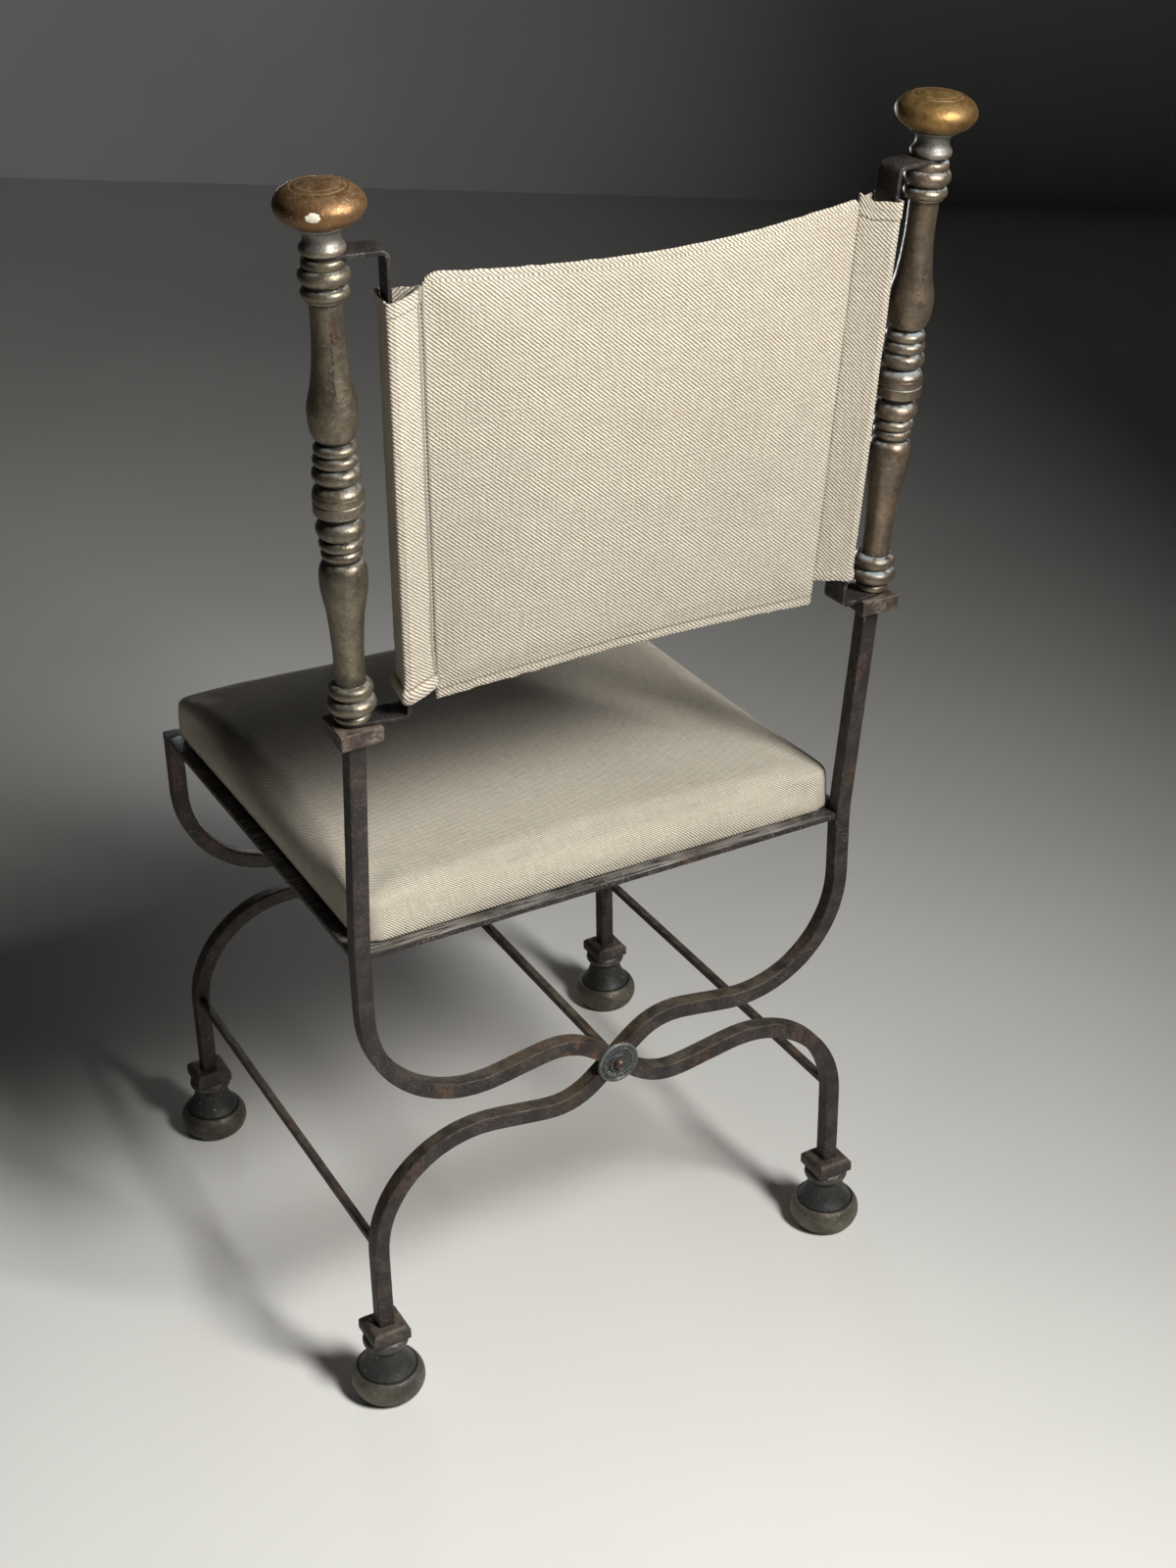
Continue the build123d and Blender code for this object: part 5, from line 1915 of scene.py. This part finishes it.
# ---- studio ----
@dataclass
class Studio:
    """Pale floor, plain wall, soft lamps and the camera."""

    camera_spot: Vector = field(default_factory=lambda: Vector((0.70972, 1.45044, 1.3061)))
    yaw: float = 208.35
    pitch: float = 28.91
    roll: float = -1.01
    lens: float = 51.89
    floor_colour: Colour = colour(240, 240, 236)
    wall_colour: Colour = colour(244, 244, 247)
    wall_foot: Vector = field(default_factory=lambda: Vector((-1.7, -3.086, 0.0)))
    wall_run: Vector = field(default_factory=lambda: Vector((0.78, -0.626, 0.0)))
    key_spot: Vector = field(default_factory=lambda: Vector((-0.459, 1.403, 1.695)))
    key_aim: Vector = field(default_factory=lambda: Vector((0.920, -0.312, -0.238)))
    key_size: float = 0.62
    key_power: float = 80.0
    fill_spot: Vector = field(default_factory=lambda: Vector((-0.7, -2.3, 0.55)))
    fill_aim: Vector = field(default_factory=lambda: Vector((0.0, 0.0, 0.72)))
    fill_size: float = 0.5
    fill_power: float = 1.2
    sky: Colour = (0.8, 0.82, 0.86, 1.0)
    sky_strength: float = 0.006

    def facing(self) -> tuple[Vector, Vector, Vector]:
        """Right, up and forward directions of the camera."""
        yaw, pitch, roll = (math.radians(a) for a in (self.yaw, self.pitch, self.roll))
        forward = Vector((math.sin(yaw) * math.cos(pitch), math.cos(yaw) * math.cos(pitch), -math.sin(pitch)))
        right = Vector((math.cos(yaw), -math.sin(yaw), 0.0))
        up = right.cross(forward)
        return (
            right * math.cos(roll) + up * math.sin(roll),
            up * math.cos(roll) - right * math.sin(roll),
            forward,
        )

    def camera(self) -> None:
        """Sets up the camera."""
        right, up, forward = self.facing()
        data = bpy.data.cameras.new("camera")
        data.lens, data.sensor_width = self.lens, 36.0
        made = placed("camera", data)
        made.matrix_world = Matrix.Translation(self.camera_spot) @ Matrix((right, up, -forward)).transposed().to_4x4()
        bpy.context.scene.camera = made

    def sheet(self, name: str, corners: Sequence[Vector], tint: Colour, roughness: float) -> None:
        """Makes a flat stage piece.

        Args:
            name: name of the piece.
            corners: its four corners in metres.
            tint: its colour.
            roughness: how dull it is.
        """
        mesh = bpy.data.meshes.new(name)
        mesh.from_pydata([tuple(c) for c in corners], [], [(0, 1, 2, 3)])
        made = placed(name, mesh)
        surface = Surface(name)
        grubby = tuple(c * 0.93 for c in tint[:3]) + (1.0,)
        worn = surface.mix(surface.patches(1.3, 0.35, 0.65, 3.0), tint, grubby)
        surface.finish(worn, roughness, 0.0, surface.patches(30.0, 0.3, 0.7), 0.0003, 0.3)
        mesh.materials.append(surface.material)

    def lamp(
        self, name: str, spot: Vector, aim: Vector, size: float, power: float, tint: Triple, spread: float
    ) -> None:
        """Hangs one soft square lamp that lights the room but isn't seen in it.

        Args:
            name: name of the lamp.
            spot, aim: where it hangs and the point that it faces, in metres.
            size: its side in metres.
            power: watts.
            tint: colour of its light.
            spread: width of its beam in degrees.
        """
        data = bpy.data.lights.new(name, "AREA")
        data.size, data.energy, data.color, data.spread = size, power, tint, math.radians(spread)
        made = placed(name, data)
        made.location = spot
        made.visible_camera = False
        made.rotation_mode = "QUATERNION"
        made.rotation_quaternion = (aim - spot).to_track_quat("-Z", "Y")

    def build(self) -> None:
        """Sets the stage, the light and the camera."""
        self.camera()
        away = Vector((-self.wall_run.y, self.wall_run.x, 0.0)) * 12.0
        ends = [self.wall_foot - self.wall_run * 9.0, self.wall_foot + self.wall_run * 9.0]
        self.sheet("floor", [*ends, ends[1] + away, ends[0] + away], self.floor_colour, 0.5)
        top = Vector((0.0, 0.0, 4.0))
        self.sheet("wall", [ends[1], ends[0], ends[0] + top, ends[1] + top], self.wall_colour, 0.9)
        key_aim = self.key_spot + self.key_aim
        self.lamp("key", self.key_spot, key_aim, self.key_size, self.key_power, (1.0, 0.985, 0.96), 180.0)
        self.lamp("fill", self.fill_spot, self.fill_aim, self.fill_size, self.fill_power, (0.96, 0.98, 1.0), 45.0)
        world = bpy.data.worlds.new("studio")
        world.use_nodes = True
        sky = world.node_tree.nodes["Background"].inputs
        sky[0].default_value, sky[1].default_value = self.sky, self.sky_strength
        bpy.context.scene.world = world
        bpy.context.scene.view_settings.view_transform = "Standard"


def knob_bronze(post: Post) -> Material:
    """Golden bronze of one knob; the left one has a fleck of old paint."""
    left = post.side is Side.LEFT
    # The bloom colour stands for bloom with painted sheen on faces of the knob that look up.
    return AgedBronze(
        f"knob_bronze_{post.side.word}", body=colour(134, 100, 64) if left else colour(142, 111, 62),
        lower=colour(132, 132, 127), dark=colour(76, 54, 34), hollow=colour(60, 58, 54), bloom=colour(110, 96, 76),
        rubbed=colour(158, 132, 96), hollow_share=0.4, bloom_share=0.25, rubbed_share=0.3, roughness=0.42,
        streaks=0.0, scuffs=0.4, fleck=post.place(357.6) @ Vector((14.3, 23.6, 0.0)) if left else None,
    ).material()


def casting_bronze(post: Post) -> Material:
    """Grey-brown bronze of one post's castings, with its own stains."""
    left = post.side is Side.LEFT
    rust, dark, green = colour(84, 56, 38), colour(36, 33, 29), colour(140, 156, 148)
    rows = (
        (282.0, (0.6, 10.3), (0.0045, 0.0045, 0.016), rust, 0.6),
        (266.0, (2.4, 10.8), (0.0019, 0.0019, 0.036), dark, 0.65),
        (249.0, (4.6, 11.4), (0.003, 0.003, 0.018), dark, 0.6),
    ) if left else ((72.0, (-6.0, 8.5), (0.0028, 0.0028, 0.009), green, 0.7),)
    stains = tuple(Stain(post.place(z) @ Vector((*spot, 0.0)), *look) for z, spot, *look in rows)
    # The bloom colour stands for grey-blue bloom with painted sheen on the tops of the beads.
    return AgedBronze(
        f"casting_bronze_{post.side.word}", body=colour(118, 109, 92) if left else colour(132, 116, 98),
        bloom=colour(128, 133, 132) if left else colour(138, 148, 150), bloom_share=0.6 if left else 1.0, stains=stains,
    ).material()


def irons() -> dict[str, Material]:
    """Finishes of the forged pieces: bars and rods, seat rails, plates, collars and the sling's strips."""
    crossing = Vector((26.0, REAR_Y, CROSSING + 24.0)) * MM
    made = (
        OldIron("old_iron", rust_place=crossing),
        OldIron(
            "seat_frame_iron", skin=colour(34, 30, 29), bloom=colour(54, 49, 46), rubbed=colour(160, 156, 150),
            dust=colour(88, 83, 76), dusty=0.8, wear=0.1, scratches=0.9,
        ),
        OldIron("plate_iron", skin=colour(56, 46, 41), bloom=colour(118, 102, 91), dust=colour(116, 104, 90)),
        OldIron("collar_iron", skin=colour(50, 43, 39), bloom=colour(88, 78, 70), dust=colour(96, 87, 74)),
        OldIron(
            "strip_iron", skin=colour(30, 27, 27), bloom=colour(48, 43, 42), rubbed=colour(104, 96, 92),
            rust=colour(66, 54, 48), dusty=0.1, wear=0.42,
        ),
    )
    return {iron.name: iron.material() for iron in made}


def bronzes() -> dict[str, Material]:
    """Finishes of the feet, the rosettes and the rod's heads."""
    made = (
        AgedBronze(
            "foot_bronze", body=colour(62, 63, 63), lower=colour(106, 100, 87), dark=colour(46, 44, 41),
            hollow=colour(34, 33, 32), rubbed=colour(126, 118, 102), bloom_share=0.15, rubbed_share=0.45,
            roughness=0.46, metallic=0.45, mottle=0.7, streaks=0.0, scuffs=0.5,
        ),
        AgedBronze(
            "rosette_bronze", body=colour(84, 88, 88), dark=colour(44, 45, 45), hollow=colour(30, 31, 32),
            rubbed=colour(138, 141, 138), metallic=0.45, roughness=0.46, bloom_share=0.3, mottle=0.7, scuffs=0.7,
        ),
        AgedBronze(
            "rod_head_bronze", body=colour(88, 72, 60), dark=colour(50, 41, 35), rubbed=colour(108, 88, 74),
            metallic=0.5, bloom_share=0.1,
        ),
    )
    return {bronze.name: bronze.material() for bronze in made}


def linens() -> dict[str, Material]:
    """Finishes of the sling, the pad and the sewing thread."""
    made = (
        TwillLinen("back_linen"),
        TwillLinen("seat_linen", pale=colour(220, 212, 195), tan=colour(114, 104, 88), pitch=0.0018),
        TwillLinen("linen_thread", pale=colour(206, 198, 180), pitch=0.0008, contrast=0.3),
    )
    return {linen.name: linen.material() for linen in made}


def main() -> None:
    """Builds the chair piece by piece, then the studio."""
    logging.basicConfig(level=logging.INFO, format="%(name)s: %(message)s")
    noise.seed_set(NOISE_SEED)
    iron, bronze, linen = irons(), bronzes(), linens()
    XFrame("rear", REAR_Y, True, iron["old_iron"]).build()
    XFrame("front", FRONT_Y, False, iron["old_iron"]).build()
    SeatFrame(iron["seat_frame_iron"]).build()
    Rods(iron["old_iron"]).build()
    Feet(bronze["foot_bronze"], iron["collar_iron"]).build()
    Rosettes(bronze["rosette_bronze"], bronze["rod_head_bronze"]).build()
    for side in Side:
        post = Post(side)
        knob = knob_bronze(post)
        PostStack(post, iron["plate_iron"], iron["strip_iron"], casting_bronze(post), knob).build()
    SlipSeat(linen["seat_linen"], Plywood().material()).build()
    Sling(linen["back_linen"], linen["linen_thread"]).build()
    for node in ("tie_rod_left", "tie_rod_right"):
        paint(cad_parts[node], iron["old_iron"])
    Studio().build()


if __name__ == "__main__":
    main()
